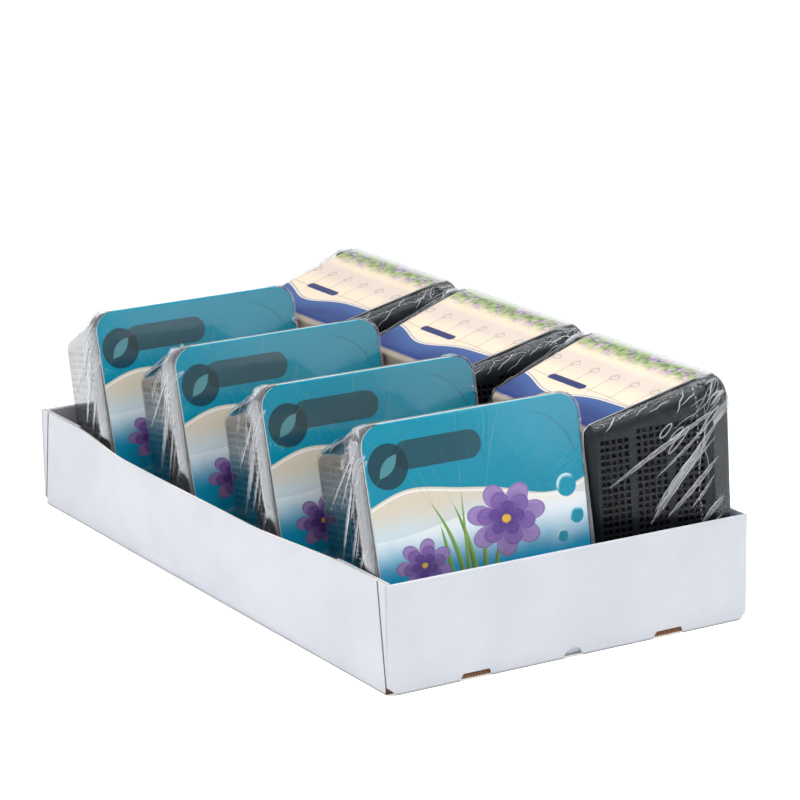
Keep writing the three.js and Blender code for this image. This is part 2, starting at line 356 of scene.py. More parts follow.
def make_piece(
    name: str,
    patches: Sequence[Patch],
    materials: Sequence[bpy.types.Material],
    sharp: float = SHARP_ANGLE,
) -> bpy.types.Object:
    """One object from patches, its doubled points merged and its sharp edges kept.

    Args:
        name: the piece's name.
        patches: the parts of its mesh.
        materials: its material slots.
        sharp: the angle in degrees above which an edge stays sharp.

    Returns:
        The object, riding on the object's one body.
    """
    starts = np.cumsum([0, *[len(patch.points) for patch in patches]])
    points = np.concatenate([patch.points for patch in patches])
    faces = np.concatenate([patch.faces + start for patch, start in zip(patches, starts)])
    slots = np.concatenate([np.full(len(patch.faces), patch.slot) for patch in patches])
    charts = np.concatenate([patch.corner_charts() for patch in patches])
    keys = np.round(points / MERGE_STEP).astype(np.int64)
    _, first, where = np.unique(keys, axis=0, return_index=True, return_inverse=True)
    points, faces = points[first], where.reshape(-1)[faces]
    whole = (faces[:, 0] != faces[:, 2]) & (faces[:, 1] != faces[:, 3])
    faces, slots, charts = faces[whole], slots[whole], charts[whole]
    mesh = bpy.data.meshes.new(name)
    mesh.from_pydata(points.tolist(), [], tidy_faces(faces))
    for material in materials:
        mesh.materials.append(material)
    mesh.polygons.foreach_set("material_index", slots.astype(np.int32))
    mesh.shade_smooth()
    mesh.set_sharp_from_angle(angle=radians(sharp))
    kept = corner_mask(faces)
    layer = mesh.uv_layers.new(name=CHART)
    layer.uv.foreach_set("vector", charts[kept].astype(np.float32).reshape(-1))
    mesh.update()
    piece = bpy.data.objects.new(name, mesh)
    bpy.context.scene.collection.objects.link(piece)
    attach(piece, BODY)
    return piece


def cut_away(
    piece: bpy.types.Object, patches: Sequence[Patch], materials: Sequence[bpy.types.Material]
) -> bpy.types.Object:
    """Cuts closed patches out of a piece, one after another, and keeps the result as its mesh.

    Args:
        piece: the closed piece to cut.
        patches: closed shapes to take away.
        materials: the piece's material slots, which the patches share.

    Returns:
        The same piece.
    """
    for index, patch in enumerate(patches):
        cutter = make_piece(f"{piece.name}_cutter_{index}", [patch], materials)
        modifier = piece.modifiers.new("recess", "BOOLEAN")
        modifier.operation = "DIFFERENCE"
        modifier.object = cutter
        whole = piece.evaluated_get(bpy.context.evaluated_depsgraph_get())
        mesh = bpy.data.meshes.new_from_object(whole)
        piece.modifiers.clear()
        piece.data = mesh
        bpy.data.objects.remove(cutter)
    piece.data.shade_smooth()
    piece.data.set_sharp_from_angle(angle=radians(SHARP_ANGLE))
    return piece


def border_loop(sheet: np.ndarray) -> np.ndarray:
    """Points round the border of a grid, once round."""
    return np.concatenate([sheet[0, :-1], sheet[:-1, -1], sheet[-1, :0:-1], sheet[:0:-1, 0]])


def corner_mask(faces: np.ndarray) -> np.ndarray:
    """Which corners stay once a corner equal to the one before it is dropped."""
    return faces != np.roll(faces, 1, axis=1)


def tidy_faces(faces: np.ndarray) -> list[list[int]]:
    """Faces without the corners that merging made equal to the one before."""
    kept = corner_mask(faces)
    full = kept.all(axis=1)
    lists = faces.tolist()
    for index in np.nonzero(~full)[0].tolist():
        lists[index] = faces[index][kept[index]].tolist()
    return lists


# Finishes


@dataclass(frozen=True)
class CoatedBoard:
    """White coated micro-flute board: washboard lines, soft mottling, specks and seams, with
    painted shade along its foot and beside its corner folds.
    """

    tint: tuple = srgb(202, 205, 212)
    shade: tuple = srgb(190, 194, 202)
    seam_foot: float = 3.5 * MM
    seam_top: float = 14.5 * MM
    wall_height: float = 82 * MM
    wall_start: float = 149.5 * MM
    half_length: float = 285 * MM
    corner_shade_place: float = 282.5 * MM

    def make(self) -> bpy.types.Material:
        """The material."""
        book = NodeBook("coated_board")
        at = book.place()
        x, y, z = book.axes(at)
        cloud = book.noise(at, 14, 3)
        grain = book.noise(at, 900, 2, 0.7)
        flutes = (z * FLUTES).sine() * 0.5 + 0.5
        wash = book.noise(book.vector(x * 6, y * 6, z * 90), 3, 2)
        colour = book.mix(cloud.step(0.35, 0.7) * 0.6, self.tint, self.shade)
        specks = book.noise(at, 1500, 0).step(0.77, 0.82) * 0.25
        colour = book.mix(specks, colour, srgb(160, 150, 140))
        # Painted shade: greyer towards the foot and a thin dark line at the bottom edge, standing
        # in for the contact shadow on the floor.
        foot = z.step(0.3 * MM, 2.2 * MM, 1.0, 0.0) * 0.4 + z.step(0.5 * MM, 0.9 * MM, 0.5, 0.0)
        colour = book.mix(foot, colour, srgb(112, 110, 114))
        side = (abs(x) - self.wall_start).step(0, 0.5 * MM)
        # Painted shade: a grey band just in from each corner fold of the long walls, stronger
        # higher up, standing in for the shade on the rounded corner.
        crease = abs(abs(y) - self.corner_shade_place).step(0.6 * MM, 2.2 * MM, 0.45, 0.0) * side
        colour = book.mix(crease * z.step(2 * MM, 76 * MM, 0.4, 1.0), colour, srgb(140, 140, 142))
        seam = self.corner_seam(y, z) * side
        colour = book.mix(seam * 0.95, colour, srgb(62, 54, 50))
        relief = flutes * 0.12 + wash * 0.5 + cloud * 1.2 + grain * 0.05 - seam * 1.5
        rough = book.noise(at, 40, 3).step(0.3, 0.7, 0.42, 0.58)
        return book.surface(colour, rough, book.bump(relief, 0.35 * MM, 0.7), 0.35)

    def corner_seam(self, y: Field, z: Field) -> Field:
        """Lines where the end wall's board, wrapped round a corner, meets the long wall."""
        reach = z * ((self.seam_top - self.seam_foot) / self.wall_height) + self.seam_foot
        return abs(abs(y) + reach - self.half_length).step(0.7 * MM, 1.2 * MM, 1.0, 0.0)


@dataclass(frozen=True)
class CutEdge:
    """The board's cut edge: brown flutes between two pale liners."""

    kraft: tuple = srgb(110, 68, 34)
    pale: tuple = srgb(226, 221, 212)

    def make(self, name: str, paleness: float) -> bpy.types.Material:
        """The material, as brown or as pale as paleness from 0 to 1 says."""
        book = NodeBook(name)
        at = book.place()
        x, y, z = book.axes(at)
        wave = ((x + y) * FLUTES).sine() * 0.5 + 0.5
        fibre = book.noise(at, 700, 3, 0.7)
        share = (wave * 0.35 + fibre * 0.5 + (paleness - 0.5)).clamp()
        colour = book.mix(share, self.kraft, self.pale)
        normal = book.bump(wave * 0.5 + fibre * 0.5, 0.3 * MM, 0.6)
        return book.surface(colour, fibre.step(0.2, 0.8, 0.75, 0.95), normal)


@dataclass(frozen=True)
class BasketPlastic:
    """Black moulded polypropylene with a fine satin grain and faint flow marks."""

    tint: tuple = srgb(38, 41, 45)
    worn: tuple = srgb(48, 50, 55)

    def make(self) -> bpy.types.Material:
        """The material."""
        book = NodeBook("basket_plastic")
        at = book.place()
        grain = book.noise(at, 700, 2, 0.5)
        flow = book.noise(at, 25, 3)
        colour = book.mix(flow.step(0.45, 0.75) * 0.5, self.tint, self.worn)
        normal = book.bump(grain * 0.3 + flow * 0.7, 0.1 * MM, 0.35)
        return book.surface(colour, flow * 0.16 + 0.26, normal, 0.14)


@dataclass(frozen=True)
class ShadeLiner:
    """Near-black matte sheet with short fibres behind the basket's mesh: painted shade, standing in
    for the dark inside of the basket.
    """

    def make(self) -> bpy.types.Material:
        """The material."""
        book = NodeBook("shade_liner")
        at = book.place()
        fibre = book.noise(at, 1100, 3, 0.7)
        colour = book.mix(fibre.step(0.3, 0.7), srgb(7, 7, 8), srgb(16, 16, 18))
        return book.surface(
            colour, fibre.step(0.2, 0.8, 0.9, 1.0), book.bump(fibre, 0.4 * MM, 0.6), 0.05
        )


@dataclass(frozen=True)
class CardBack:
    """The card's white core, seen on its cut edges, and its uncoated reverse."""

    def make(self) -> bpy.types.Material:
        """The material."""
        book = NodeBook("card_core")
        at = book.place()
        fibre = book.noise(at, 500, 3, 0.7)
        colour = book.mix(fibre * 0.6, srgb(246, 246, 246), srgb(226, 226, 228))
        return book.surface(
            colour, fibre.step(0.2, 0.8, 0.6, 0.85), book.bump(fibre, 0.15 * MM, 0.5)
        )


@dataclass
class Drawing:
    """A printed panel as it is drawn: the places on it and the colour laid down so far."""

    book: NodeBook
    x: Field
    y: Field
    colour: object

    def paint(self, share: Field, tone: object) -> None:
        """Lays a colour over what is there, by its share."""
        self.colour = self.book.mix(share, self.colour, tone)

    def paint_inside(
        self, distance: Field, tone: object, soft: float = 0.004, share: float = 1.0
    ) -> None:
        """Lays a colour where a distance from a shape's edge is below 0."""
        self.paint(distance.step(-soft, soft, share, 0.0), tone)

    def paint_line(
        self, distance: Field, tone: object, low: float, high: float, share: float
    ) -> None:
        """Lays a line that is full up to low from a shape's edge and gone from high on."""
        self.paint(abs(distance).step(low, high, share, 0.0), tone)

    def reach(self, x: float, y: float) -> Field:
        """Distance from a point: the root of the squares' sum."""
        across, up = self.x - x, self.y - y
        return (across * across + up * up) ** 0.5


@dataclass(frozen=True)
class PondPrint:
    """The cards' print: a made-up pond design. The chart's unit is 100 mm, x across and y up.

    Past y = 0.93 the chart goes on over the upper rim and along the panel on top.
    """

    teal: tuple = srgb(0, 151, 178)
    deep: tuple = srgb(0, 133, 162)
    cream: tuple = srgb(252, 228, 200)
    water: tuple = srgb(24, 166, 208)
    slate: tuple = srgb(30, 66, 76)
    fold_wear_and_highlight: tuple = srgb(250, 250, 250)
    fold: float = 0.93

    def make(self) -> bpy.types.Material:
        """The material."""
        book = NodeBook("pond_print")
        x, y = book.chart()
        front = self.front(book, x, y)
        top = self.top(book, x, y - self.fold)
        panel = Drawing(book, x, y, front)
        panel.paint(y.step(self.fold - 0.002, self.fold + 0.002), top)
        # Partly worn edge, partly painted highlight: a faint pale line along the fold over the
        # upper rim.
        panel.paint_line(y - self.fold, self.fold_wear_and_highlight, 0.003, 0.008, 0.25)
        grain = book.noise(book.place(), 700, 2, 0.6)
        rough = grain.step(0.2, 0.8, 0.14, 0.22)
        return book.surface(panel.colour, rough, book.bump(grain, 0.05 * MM, 0.4), 0.3)

    def front(self, book: NodeBook, x: Field, y: Field) -> bpy.types.NodeSocket:
        """Front panel: teal sky, pale shore and blue water, with blooms, reeds and bubbles."""
        cloud = book.noise(book.vector(x, y), 2.2, 3)
        sky = book.mix((cloud * 0.8 + y * -0.25 + 0.1).clamp(), self.teal, self.deep)
        level = y + cloud * 0.2
        crest = (x * 3.1 + 2.9).sine() * 0.09 + (x * 7.3).sine() * 0.018 + 0.34
        second = (x * 2.6 + 0.6).sine() * 0.07 + 0.17
        below = (y - crest).step(-0.004, 0.004, 1.0, 0.0)
        panel = Drawing(book, x, y, self.cream)
        panel.paint(level.step(0.20, 0.46, 1.0, 0.0), srgb(240, 246, 250))
        panel.paint(level.step(-0.10, 0.26, 1.0, 0.0), self.water)
        panel.paint((y - second).step(-0.004, 0.004) * below * 0.22, self.teal)
        panel.paint((y - crest).step(-0.003, 0.003), sky)
        panel.paint_line(y - crest + 0.022, srgb(250, 250, 248), 0.005, 0.011, 0.85)
        self.ripples(panel)
        self.blades(panel)
        for centre, size, turn in (((0.20, 0.10), 0.34, 0.3), ((-0.52, -0.12), 0.24, 0.9)):
            self.bloom(panel, centre, size, turn)
        for centre, size in (((0.74, 0.26), 0.085), ((0.80, 0.03), 0.06), ((0.66, -0.10), 0.045)):
            self.bubble(panel, centre, size)
        # Painted shade: a faint slate arc near the upper right, standing in for the shade in a
        # crease of the card.
        arc_crease_shade = abs(panel.reach(0.42, 0.40) - 0.44).step(0.004, 0.012, 0.3, 0.0)
        panel.paint(arc_crease_shade * (x - 0.46).step(0, 0.1) * (y - 0.42).step(0, 0.1), self.slate)
        self.tags(panel)
        return panel.colour

    def ripples(self, panel: Drawing) -> None:
        """Pale rings in the water along the bottom."""
        x, y, book = panel.x, panel.y, panel.book
        wave = ((y * 46 + (x * 5).sine() * 1.6).sine() * 0.5 + 0.5) ** 6.0
        patchy = book.noise(book.vector(x * 3, y * 9), 1.5).step(0.4, 0.6)
        panel.paint(wave * y.step(-0.75, -0.05, 0.5, 0.0) * patchy, srgb(214, 236, 246))

    def blades(self, panel: Drawing) -> None:
        """Reed leaves: the midline bends as the height's square, the width closes at the tip."""
        leaves = (
            (-0.10, -0.25, 0.62, 0.030), (-0.20, -0.42, 0.66, 0.026), (-0.02, 0.10, 0.55, 0.024),
            (-0.30, -0.10, 0.48, 0.030), (0.06, 0.38, 0.50, 0.022), (-0.16, 0.02, 0.70, 0.018),
        )
        for index, (foot, lean, height, width) in enumerate(leaves):
            rise = (panel.y + 0.35) / height
            aside = panel.x - (rise * rise * lean * 0.5 + foot)
            half = (1.0 - rise).clamp() ** 0.6 * width
            inside = (abs(aside) - half).step(-0.004, 0.004, 1.0, 0.0) * rise.step(-0.1, 0.0)
            tone = srgb(70 + 22 * (index % 3), 128 + 12 * (index % 2), 58)
            light = panel.book.mix(aside.step(-width, width), tone, srgb(150, 186, 92))
            panel.paint(inside, light)

    def bloom(
        self, panel: Drawing, centre: tuple[float, float], size: float, turn: float
    ) -> None:
        """A flat bloom of three whorls, whose edge runs out and in with the angle round its centre.

        Args:
            panel: the panel to draw it on.
            centre: its place.
            size: how far its petals reach.
            turn: the angle of its first petal.
        """
        book = panel.book
        across, up = panel.x - centre[0], (panel.y - centre[1]) * 1.25
        reach = (across * across + up * up) ** 0.5
        angle = book.math("ARCTAN2", up, across)
        veins = book.noise(book.vector(angle * 9, reach * 4), 3, 2)
        whorls = (
            (7, 1.0, 0.0, srgb(92, 66, 146), srgb(178, 150, 206)),
            (6, 0.74, 0.5, srgb(74, 46, 128), srgb(150, 116, 190)),
            (5, 0.46, 0.2, srgb(58, 34, 112), srgb(120, 86, 168)),
        )
        for count, share, offset, dark, pale in whorls:
            petal = abs(((angle + (turn + offset)) * (count / 2)).sine())
            edge = (petal ** 0.55 * 0.52 + 0.48) * (size * share)
            tone = (reach / edge * 0.75 + veins * 0.5 - 0.15).clamp()
            rim = (edge - reach).step(0.0, 0.03, 0.35, 0.0)
            petal_colour = book.mix(rim, book.mix(tone, dark, pale), srgb(40, 22, 84))
            panel.paint_inside(reach - edge, petal_colour, 0.006)
        panel.paint_inside(reach - size * 0.14 + veins * 0.02, srgb(236, 188, 62), 0.008)

    def bubble(self, panel: Drawing, centre: tuple[float, float], size: float) -> None:
        """A round bubble of that radius, with a pale upper edge."""
        across, up = panel.x - centre[0], panel.y - centre[1]
        reach = panel.reach(*centre)
        light = (reach - size * 0.6).step(0, size * 0.3) * (across * -0.6 + up).step(0, size * 0.8)
        panel.paint_inside(reach - size, panel.book.mix(light, self.teal, srgb(200, 232, 240)))

    def tags(self, panel: Drawing) -> None:
        """A bare slate-green bar with round ends and a disc with a plain leaf in it."""
        x, y = panel.x, panel.y
        bar = ((abs(x + 0.30) - 0.26).at_least(0) ** 2 + abs(y - 0.68) ** 2) ** 0.5
        panel.paint_inside(bar - 0.105, self.slate, share=0.86)
        across, up = x + 0.72, y - 0.62
        disc = (across * across + up * up) ** 0.5
        panel.paint_inside(disc - 0.165, srgb(24, 56, 66), share=0.9)
        along, aside = (across + up) * 0.707, (up - across) * 0.707
        leaf = abs(aside) - (1.0 - (along / 0.11) ** 2).at_least(0) * 0.045
        panel.paint_inside(leaf, srgb(92, 160, 170), share=0.8)

    def top(self, book: NodeBook, x: Field, y: Field) -> bpy.types.NodeSocket:
        """Top panel: cream, with a meadow at the rim, line-drawn reeds and water at the end."""
        at = book.vector(x, y)
        paper = book.mix(book.noise(at, 5, 3) * 0.6, srgb(255, 236, 212), srgb(252, 226, 198))
        panel = Drawing(book, x, y, paper)
        meadow_noise = book.noise(book.vector(x * 3, y * 4), 2.5, 4, 0.7)
        blotch = book.noise(at, 12, 4, 0.65)
        green = book.mix(blotch.step(0.35, 0.6), srgb(66, 112, 44), srgb(156, 184, 104))
        petals = book.noise(at, 24, 2).step(0.4, 0.6)
        bloom = book.mix(petals, srgb(106, 66, 156), srgb(214, 176, 222))
        field = book.mix(book.noise(at, 7, 3, 0.6).step(0.50, 0.60), green, bloom)
        panel.paint((y + meadow_noise * 0.2).step(0.24, 0.40, 1.0, 0.0) * 0.92, field)
        panel.paint(y.step(0.0, 0.10, 0.85, 0.0), srgb(250, 250, 248))
        level = y + blotch * 0.1
        haze = level.step(0.34, 0.42) * level.step(0.52, 0.66, 1.0, 0.0)
        panel.paint(haze * 0.28, srgb(176, 172, 196))
        cell = (x / 0.26).fraction() - 0.5
        stem = abs(cell + (y * 9).sine() * 0.05).step(0.010, 0.022, 1.0, 0.0)
        stem = stem * y.step(0.40, 0.41) * y.step(0.74, 0.75, 1.0, 0.0)
        ring = ((cell * 1.9) ** 2 + ((y - 0.46) * 9) ** 2) ** 0.5
        head = abs(ring - 0.30).step(0.02, 0.05, 1.0, 0.0)
        ground = abs(y - 0.70 - (x * 6).sine() * 0.01).step(0.002, 0.005, 1.0, 0.0)
        panel.paint(stem.at_least(head).at_least(ground) * 0.55, srgb(120, 108, 116))
        crest = (x * 4.2 + 0.8).sine() * 0.07 + (x * 9).sine() * 0.015 + 0.80
        wave = book.mix((y - crest).step(0, 0.22), srgb(58, 96, 160), srgb(26, 58, 126))
        panel.paint((y - crest).step(-0.003, 0.003), wave)
        panel.paint_line(y - crest + 0.02, srgb(130, 160, 200), 0.004, 0.009, 0.7)
        bar = ((abs(x - 0.18) - 0.20).at_least(0) ** 2 + abs(y - 0.69) ** 2) ** 0.5
        panel.paint_inside(bar - 0.035, srgb(30, 50, 110), 0.003)
        panel.paint(y.step(1.06, 1.09, 0.0, 0.8), srgb(206, 186, 160))
        return panel.colour


@dataclass(frozen=True)
class ShrinkFilm:
    """Clear shrink film: thin and glossy, a little milky where it is drawn together at corners.

    Its y is the depth below the rim in units of 100 mm, and below 0 on the front.
    """

    def make(self) -> bpy.types.Material:
        """The material."""
        book = NodeBook("shrink_film")
        s, depth = book.chart()
        at = book.place()
        side = book.math("FLOOR", s)
        runs = book.noise(book.vector(s * 46, depth * 1.1, side), 1.6, 2, 0.55)
        wall = depth.step(-0.01, 0.03)
        film = book.noise(book.vector(s * 9, depth * 7), 2.0, 3, 0.65)
        corner = abs(s.fraction() - 0.5).step(0.38, 0.5) * depth.step(0.1, 0.9, 1.0, 0.15) * wall
        streaks = runs.step(0.56, 0.68) * depth.step(0.10, 0.55, 1.0, 0.15) * wall
        haze = streaks * 0.02 + corner * film.step(0.5, 0.64, 0.0, 0.1)
        relief = (film * 0.8 + runs * 0.5) * (corner * 0.8 + 0.14)
        normal = book.bump(relief, 0.7 * MM, 0.8)
        shine = book.facing(normal) ** 2.6 * 0.72 + depth.step(-0.02, 0.0, 0.03, 0.004)
        milk = {"Base Color": (0.86, 0.88, 0.9, 1), "Roughness": 0.28}
        return book.film(shine, 0.07, haze, milk, normal)


@dataclass(frozen=True)
class GatheredFilm:
    """Film doubled and drawn together: clear folds with milky edges and fine streaks along them;
    the milky edges are partly the doubled film's own milkiness, partly painted highlight standing
    in for glints.

    The chart's x is the length along a fold in units of 100 mm. Its y is the place across it, from
    -1 to 1, or from 2 to 3 on the band round the rim.
    """

    def make(self) -> bpy.types.Material:
        """The material."""
        book = NodeBook("gathered_film")
        along, across = book.chart()
        band = across.step(1.4, 1.6)
        edge = abs(across).step(0.60, 0.98)
        streak = book.noise(book.vector(along * 9, across * 3), 1.5, 3, 0.6).step(0.40, 0.66)
        # Milky share of the folds: partly the film's own milkiness, partly painted highlight along
        # fold edges.
        fold = edge * 0.36 + streak * 0.20 + 0.14
        cloud = book.noise(book.vector(along * 3, across * 5), 1.6, 2, 0.5).step(0.35, 0.7)
        front = across.step(2.38, 2.48, 0.16, 0.0)
        share = fold * (1.0 - band) + (cloud * 0.02 + front) * band
        normal = book.bump(streak * 0.4 + cloud * 0.2, 0.3 * MM, 0.4)
        shine = book.facing(normal) ** 2.2 * (band * 0.16 + 0.3) + 0.005
        milk = {"Base Color": (0.84, 0.86, 0.89, 1), "Roughness": 0.3}
        return book.film(shine, 0.12, share, milk, normal)


# Kits


@dataclass(frozen=True)
class KitSizes:
    rim_half: float = 92
    base_half: float = 70
    depth: float = 107
    rim_radius: float = 14
    base_radius: float = 10
    collar: float = 14
    collar_taper: float = 0.6
    chamfer: float = 4
    wall: float = 1.6
    card: float = 0.8
    film: float = 0.4
    gap: float = 0.3
    tray_board: float = 1.5

    def half(self, depth: np.ndarray) -> np.ndarray:
        """Half the basket's side at a depth: a straight line from rim to base."""
        return self.rim_half + (self.base_half - self.rim_half) * np.asarray(depth) / self.depth

    def radius(self, depth: np.ndarray) -> np.ndarray:
        """Corner radius at a depth: a straight line from rim to base."""
        change = (self.base_radius - self.rim_radius) * np.asarray(depth) / self.depth
        return self.rim_radius + change

    def rest_height(self, lean_degrees: float) -> float:
        lean = radians(lean_degrees)
        grow = self.gap + self.film
        card_grow = self.gap + self.card + grow
        shoulder = self.depth - self.chamfer
        edges = (
            (self.rim_half, -card_grow),
            (self.rim_half - self.collar_taper, self.collar + 1),
            (self.half(shoulder), shoulder + card_grow / 2),
            (self.base_half - self.chamfer, self.depth + card_grow),
        )
        drops = [(half + grow) * cos(lean) + depth * sin(lean) for half, depth in edges]
        return self.tray_board + self.gap + max(drops)


SIZES = KitSizes()


@dataclass(frozen=True)
class KitPlace:
    """Where a kit stands: the middle of its rim's lower edge, and its lean and turn in degrees.

    The place is in millimetres from the tray's front left corner: along is x, across is y.
    """

    name: str
    along: float
    across: float
    lean: float
    turn: float

    def matrix(self) -> np.ndarray:
        lean, turn = radians(self.lean), radians(self.turn)
        back = sin(lean) * SIZES.rim_half
        spot = Vector((
            self.along - sin(turn) * back - Tray.LEFT_FOOT,
            self.across + cos(turn) * back - Tray.HALF_LENGTH,
            SIZES.rest_height(self.lean),
        ))
        stand = Matrix.Rotation(turn, 4, "Z") @ Matrix.Rotation(pi / 2 - lean, 4, "X")
        return np.array(Matrix.Translation(spot * MM) @ stand)

    def carry(self, patches: Sequence[Patch]) -> Sequence[Patch]:
        matrix = self.matrix()
        for patch in patches:
            patch.points = patch.points @ (matrix[:3, :3].T * MM) + matrix[:3, 3]
        return patches


@dataclass
class Basket:
    """Square tapered pond basket: a collared shell, its walls and base meshes of square holes."""

    sizes: KitSizes
    hole: float = 3.6
    pitch: float = 5.3
    columns: int = 25
    low_columns: int = 23
    base_holes: int = 17
    base_open: float = 57.5
    arc_steps: int = 6
    rows: tuple = (
        21.0, 25.9, 30.6, 35.3, 40.2, 50.4, 55.3, 60.3, 65.3, 70.4, 79.8, 84.8, 89.8, 94.6, 98.6,
    )
    full_rows: int = 10

    def edges(self, centres: np.ndarray) -> np.ndarray:
        """Where holes start and end, from their centres."""
        return (centres[:, None] + np.array([-self.hole, self.hole]) / 2).reshape(-1)

    def row_of(self, count: int) -> np.ndarray:
        """Where the holes of a row start and end, the row's middle at 0."""
        return self.edges((np.arange(count) - (count - 1) / 2) * self.pitch)

    def side_lines(self, flat: np.ndarray) -> np.ndarray:
        """Where the mesh's lines cross a side, from one end of its flat to the other.

        Args:
            flat: half the flat's width at each ring.

        Returns:
            One row of lines for each ring.
        """
        rows = np.repeat(self.row_of(self.columns)[None], len(flat), axis=0)
        rows = np.clip(rows, -flat[:, None] * 0.995, flat[:, None] * 0.995)
        return np.concatenate([-flat[:, None], rows, flat[:, None]], axis=1)

    def rings(self, half: np.ndarray, radius: np.ndarray, depth: np.ndarray) -> np.ndarray:
        """Rounded square rings: flats with the mesh's lines on them, joined by quarter arcs.

        Args:
            half: half the side of each ring.
            radius: its corner radius.
            depth: its depth below the rim.

        Returns:
            Points as rings, stations and three axes.
        """
        flat = half - radius
        along = self.side_lines(flat)
        angle = np.arange(1, self.arc_steps) * (pi / 2 / self.arc_steps)
        side = np.stack([np.broadcast_to(half[:, None], along.shape), along], axis=-1)
        ways = np.stack([np.cos(angle), np.sin(angle)], axis=-1)
        arc = flat[:, None, None] + radius[:, None, None] * ways
        quarter = np.concatenate([side, arc], axis=1)
        turns = []
        for _ in range(4):
            turns.append(quarter)
            quarter = np.stack([-quarter[..., 1], quarter[..., 0]], axis=-1)
        flat_ring = np.concatenate(turns, axis=1)
        drop = np.broadcast_to(-depth[:, None, None], (*flat_ring.shape[:2], 1))
        return np.concatenate([flat_ring, drop], axis=-1)

    def shell(self) -> Patch:
        """The shell: rings down the outside, over the base's edge and up inside, less the holes."""
        sizes = self.sizes
        lines = self.edges(np.array(self.rows))
        shoulder = sizes.depth - sizes.chamfer
        mouth = [(sizes.rim_half - 1.1, 0), (sizes.rim_half - 0.3, 0.15), (sizes.rim_half, 0.9)]
        collar = [
            (sizes.rim_half - sizes.collar_taper, sizes.collar - 0.5),
            (sizes.rim_half - sizes.collar_taper - 0.5, sizes.collar),
            (sizes.half(sizes.collar) + 0.3, sizes.collar),
            (sizes.half(sizes.collar), sizes.collar + 0.6),
        ]
        base = [
            (sizes.half(shoulder), shoulder),
            (sizes.base_half - sizes.chamfer + 0.6, sizes.depth - 0.5),
            (sizes.base_half - sizes.chamfer - 0.6, sizes.depth),
            (self.base_open, sizes.depth),
            (self.base_open, sizes.depth - sizes.wall),
            (sizes.base_half - sizes.chamfer - 0.7, sizes.depth - sizes.wall),
        ]
        outer = [*mouth, *collar, *[(sizes.half(line), line) for line in lines]]
        inner = [(sizes.half(line) - sizes.wall, line) for line in lines[::-1]]
        inner.append((sizes.rim_half - sizes.wall, 0.5))
        profile = np.array([*outer, *base, *inner])
        half, depth = profile[:, 0], profile[:, 1]
        radius = np.minimum(sizes.radius(depth), half * 0.2) - (sizes.half(depth) - half).clip(0, 3)
        radius = np.maximum(radius, 4)
        rings = self.rings(half, radius, depth)
        count, around = rings.shape[:2]
        faces = grid_faces(count + 1, around, closed=True, flip=True) % (count * around)
        first_out = len(mouth) + len(collar)
        first_in = first_out + len(lines) + len(base)
        keep, sides = self.hole_faces(count, around, first_out, first_in, len(lines))
        faces = np.concatenate([faces[keep.reshape(-1)], sides])
        return Patch(rings.reshape(-1, 3), faces)

    def hole_faces(
        self, count: int, around: int, first_out: int, first_in: int, lines: int
    ) -> tuple[np.ndarray, np.ndarray]:
        """Which cells of the shell's grid stay, and the four walls inside each hole.

        Args:
            count: number of rings, the last of which joins the first.
            around: points in a ring.
            first_out: number of the outer ring on the first hole line.
            first_in: number of the inner ring on the last hole line.
            lines: number of hole lines.

        Returns:
            A mask over the grid's cells, and the faces of the holes' walls.
        """
        keep = np.ones((count, around), bool)
        quarter = around // 4
        walls = []
        for row in range(lines // 2):
            edge = (self.columns - self.low_columns) // 2 if row >= self.full_rows else 0
            column = np.arange(edge, self.columns - edge)
            station = (column * 2 + 1)[None] + (np.arange(4) * quarter)[:, None]
            station = station.reshape(-1)
            top_out, low_out = first_out + 2 * row, first_out + 2 * row + 1
            top_in = first_in + lines - 1 - 2 * row
            low_in = top_in - 1
            keep[top_out, station] = False
            keep[low_in, station] = False
            outer, inner = (
                [top * around + station, top * around + station + 1,
                 low * around + station + 1, low * around + station]
                for top, low in ((top_out, low_out), (top_in, low_in))
            )
            for start in range(4):
                end = (start + 1) % 4
                walls.append(
                    np.stack([inner[start], inner[end], outer[end], outer[start]], axis=-1)
                )
        return keep, np.concatenate(walls)

    def base_plate(self) -> Patch:
        """The base's mesh: a square plate, its two faces a lattice that leaves out every hole."""
        rim, sunk = self.base_open + 0.3, 0.15
        lines = np.concatenate([[-rim], self.row_of(self.base_holes), [rim]])
        count = len(lines)
        x, y = np.meshgrid(lines, lines, indexing="ij")
        levels = np.array([sunk, self.sizes.wall - sunk]) - self.sizes.depth
        points = [np.stack([x, y, np.full_like(x, z)], axis=-1).reshape(-1, 3) for z in levels]
        faces = grid_faces(count, count)
        row, column = np.meshgrid(np.arange(count - 1), np.arange(count - 1), indexing="ij")
        hole = ((row % 2 == 1) & (column % 2 == 1)).reshape(-1)
        size = count * count
        near, far = faces[hole], np.roll(faces[hole], -1, axis=1)
        walls = np.stack([near + size, far + size, far, near], axis=-1).reshape(-1, 4)
        faces = np.concatenate([faces[~hole], faces[~hole][:, ::-1] + size, walls])
        return Patch(np.concatenate(points), faces)

    def liner(self) -> Patch:
        """A thin dark liner inside the mesh, painted shade for the basket's dark inside: rounded
        rings down the wall and in over the base.
        """
        sizes = self.sizes
        floor = sizes.depth - sizes.wall - 0.8
        depth = np.array([18.0, 40.0, 70.0, floor - 1.5, floor, floor, floor])
        inset = sizes.wall + 1.3
        half = sizes.half(depth) - inset - np.array([0, 0, 0, 0, 2, 30, 60])
        radius = np.minimum(11.0, half * 0.3)
        rings = self.rings(half, radius, depth)
        return Patch(rings.reshape(-1, 3), grid_faces(*rings.shape[:2], closed=True, flip=True), 1)

    def build(self, place: KitPlace, plastic: Sequence[bpy.types.Material]) -> bpy.types.Object:
        """Builds the basket in its place and lets it stand for its CAD node."""
        patches = place.carry([self.shell(), self.base_plate(), self.liner()])
        piece = make_piece(f"mesh_basket_{place.name}", patches, plastic)
        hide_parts(f"basket_{place.name}")
        return piece


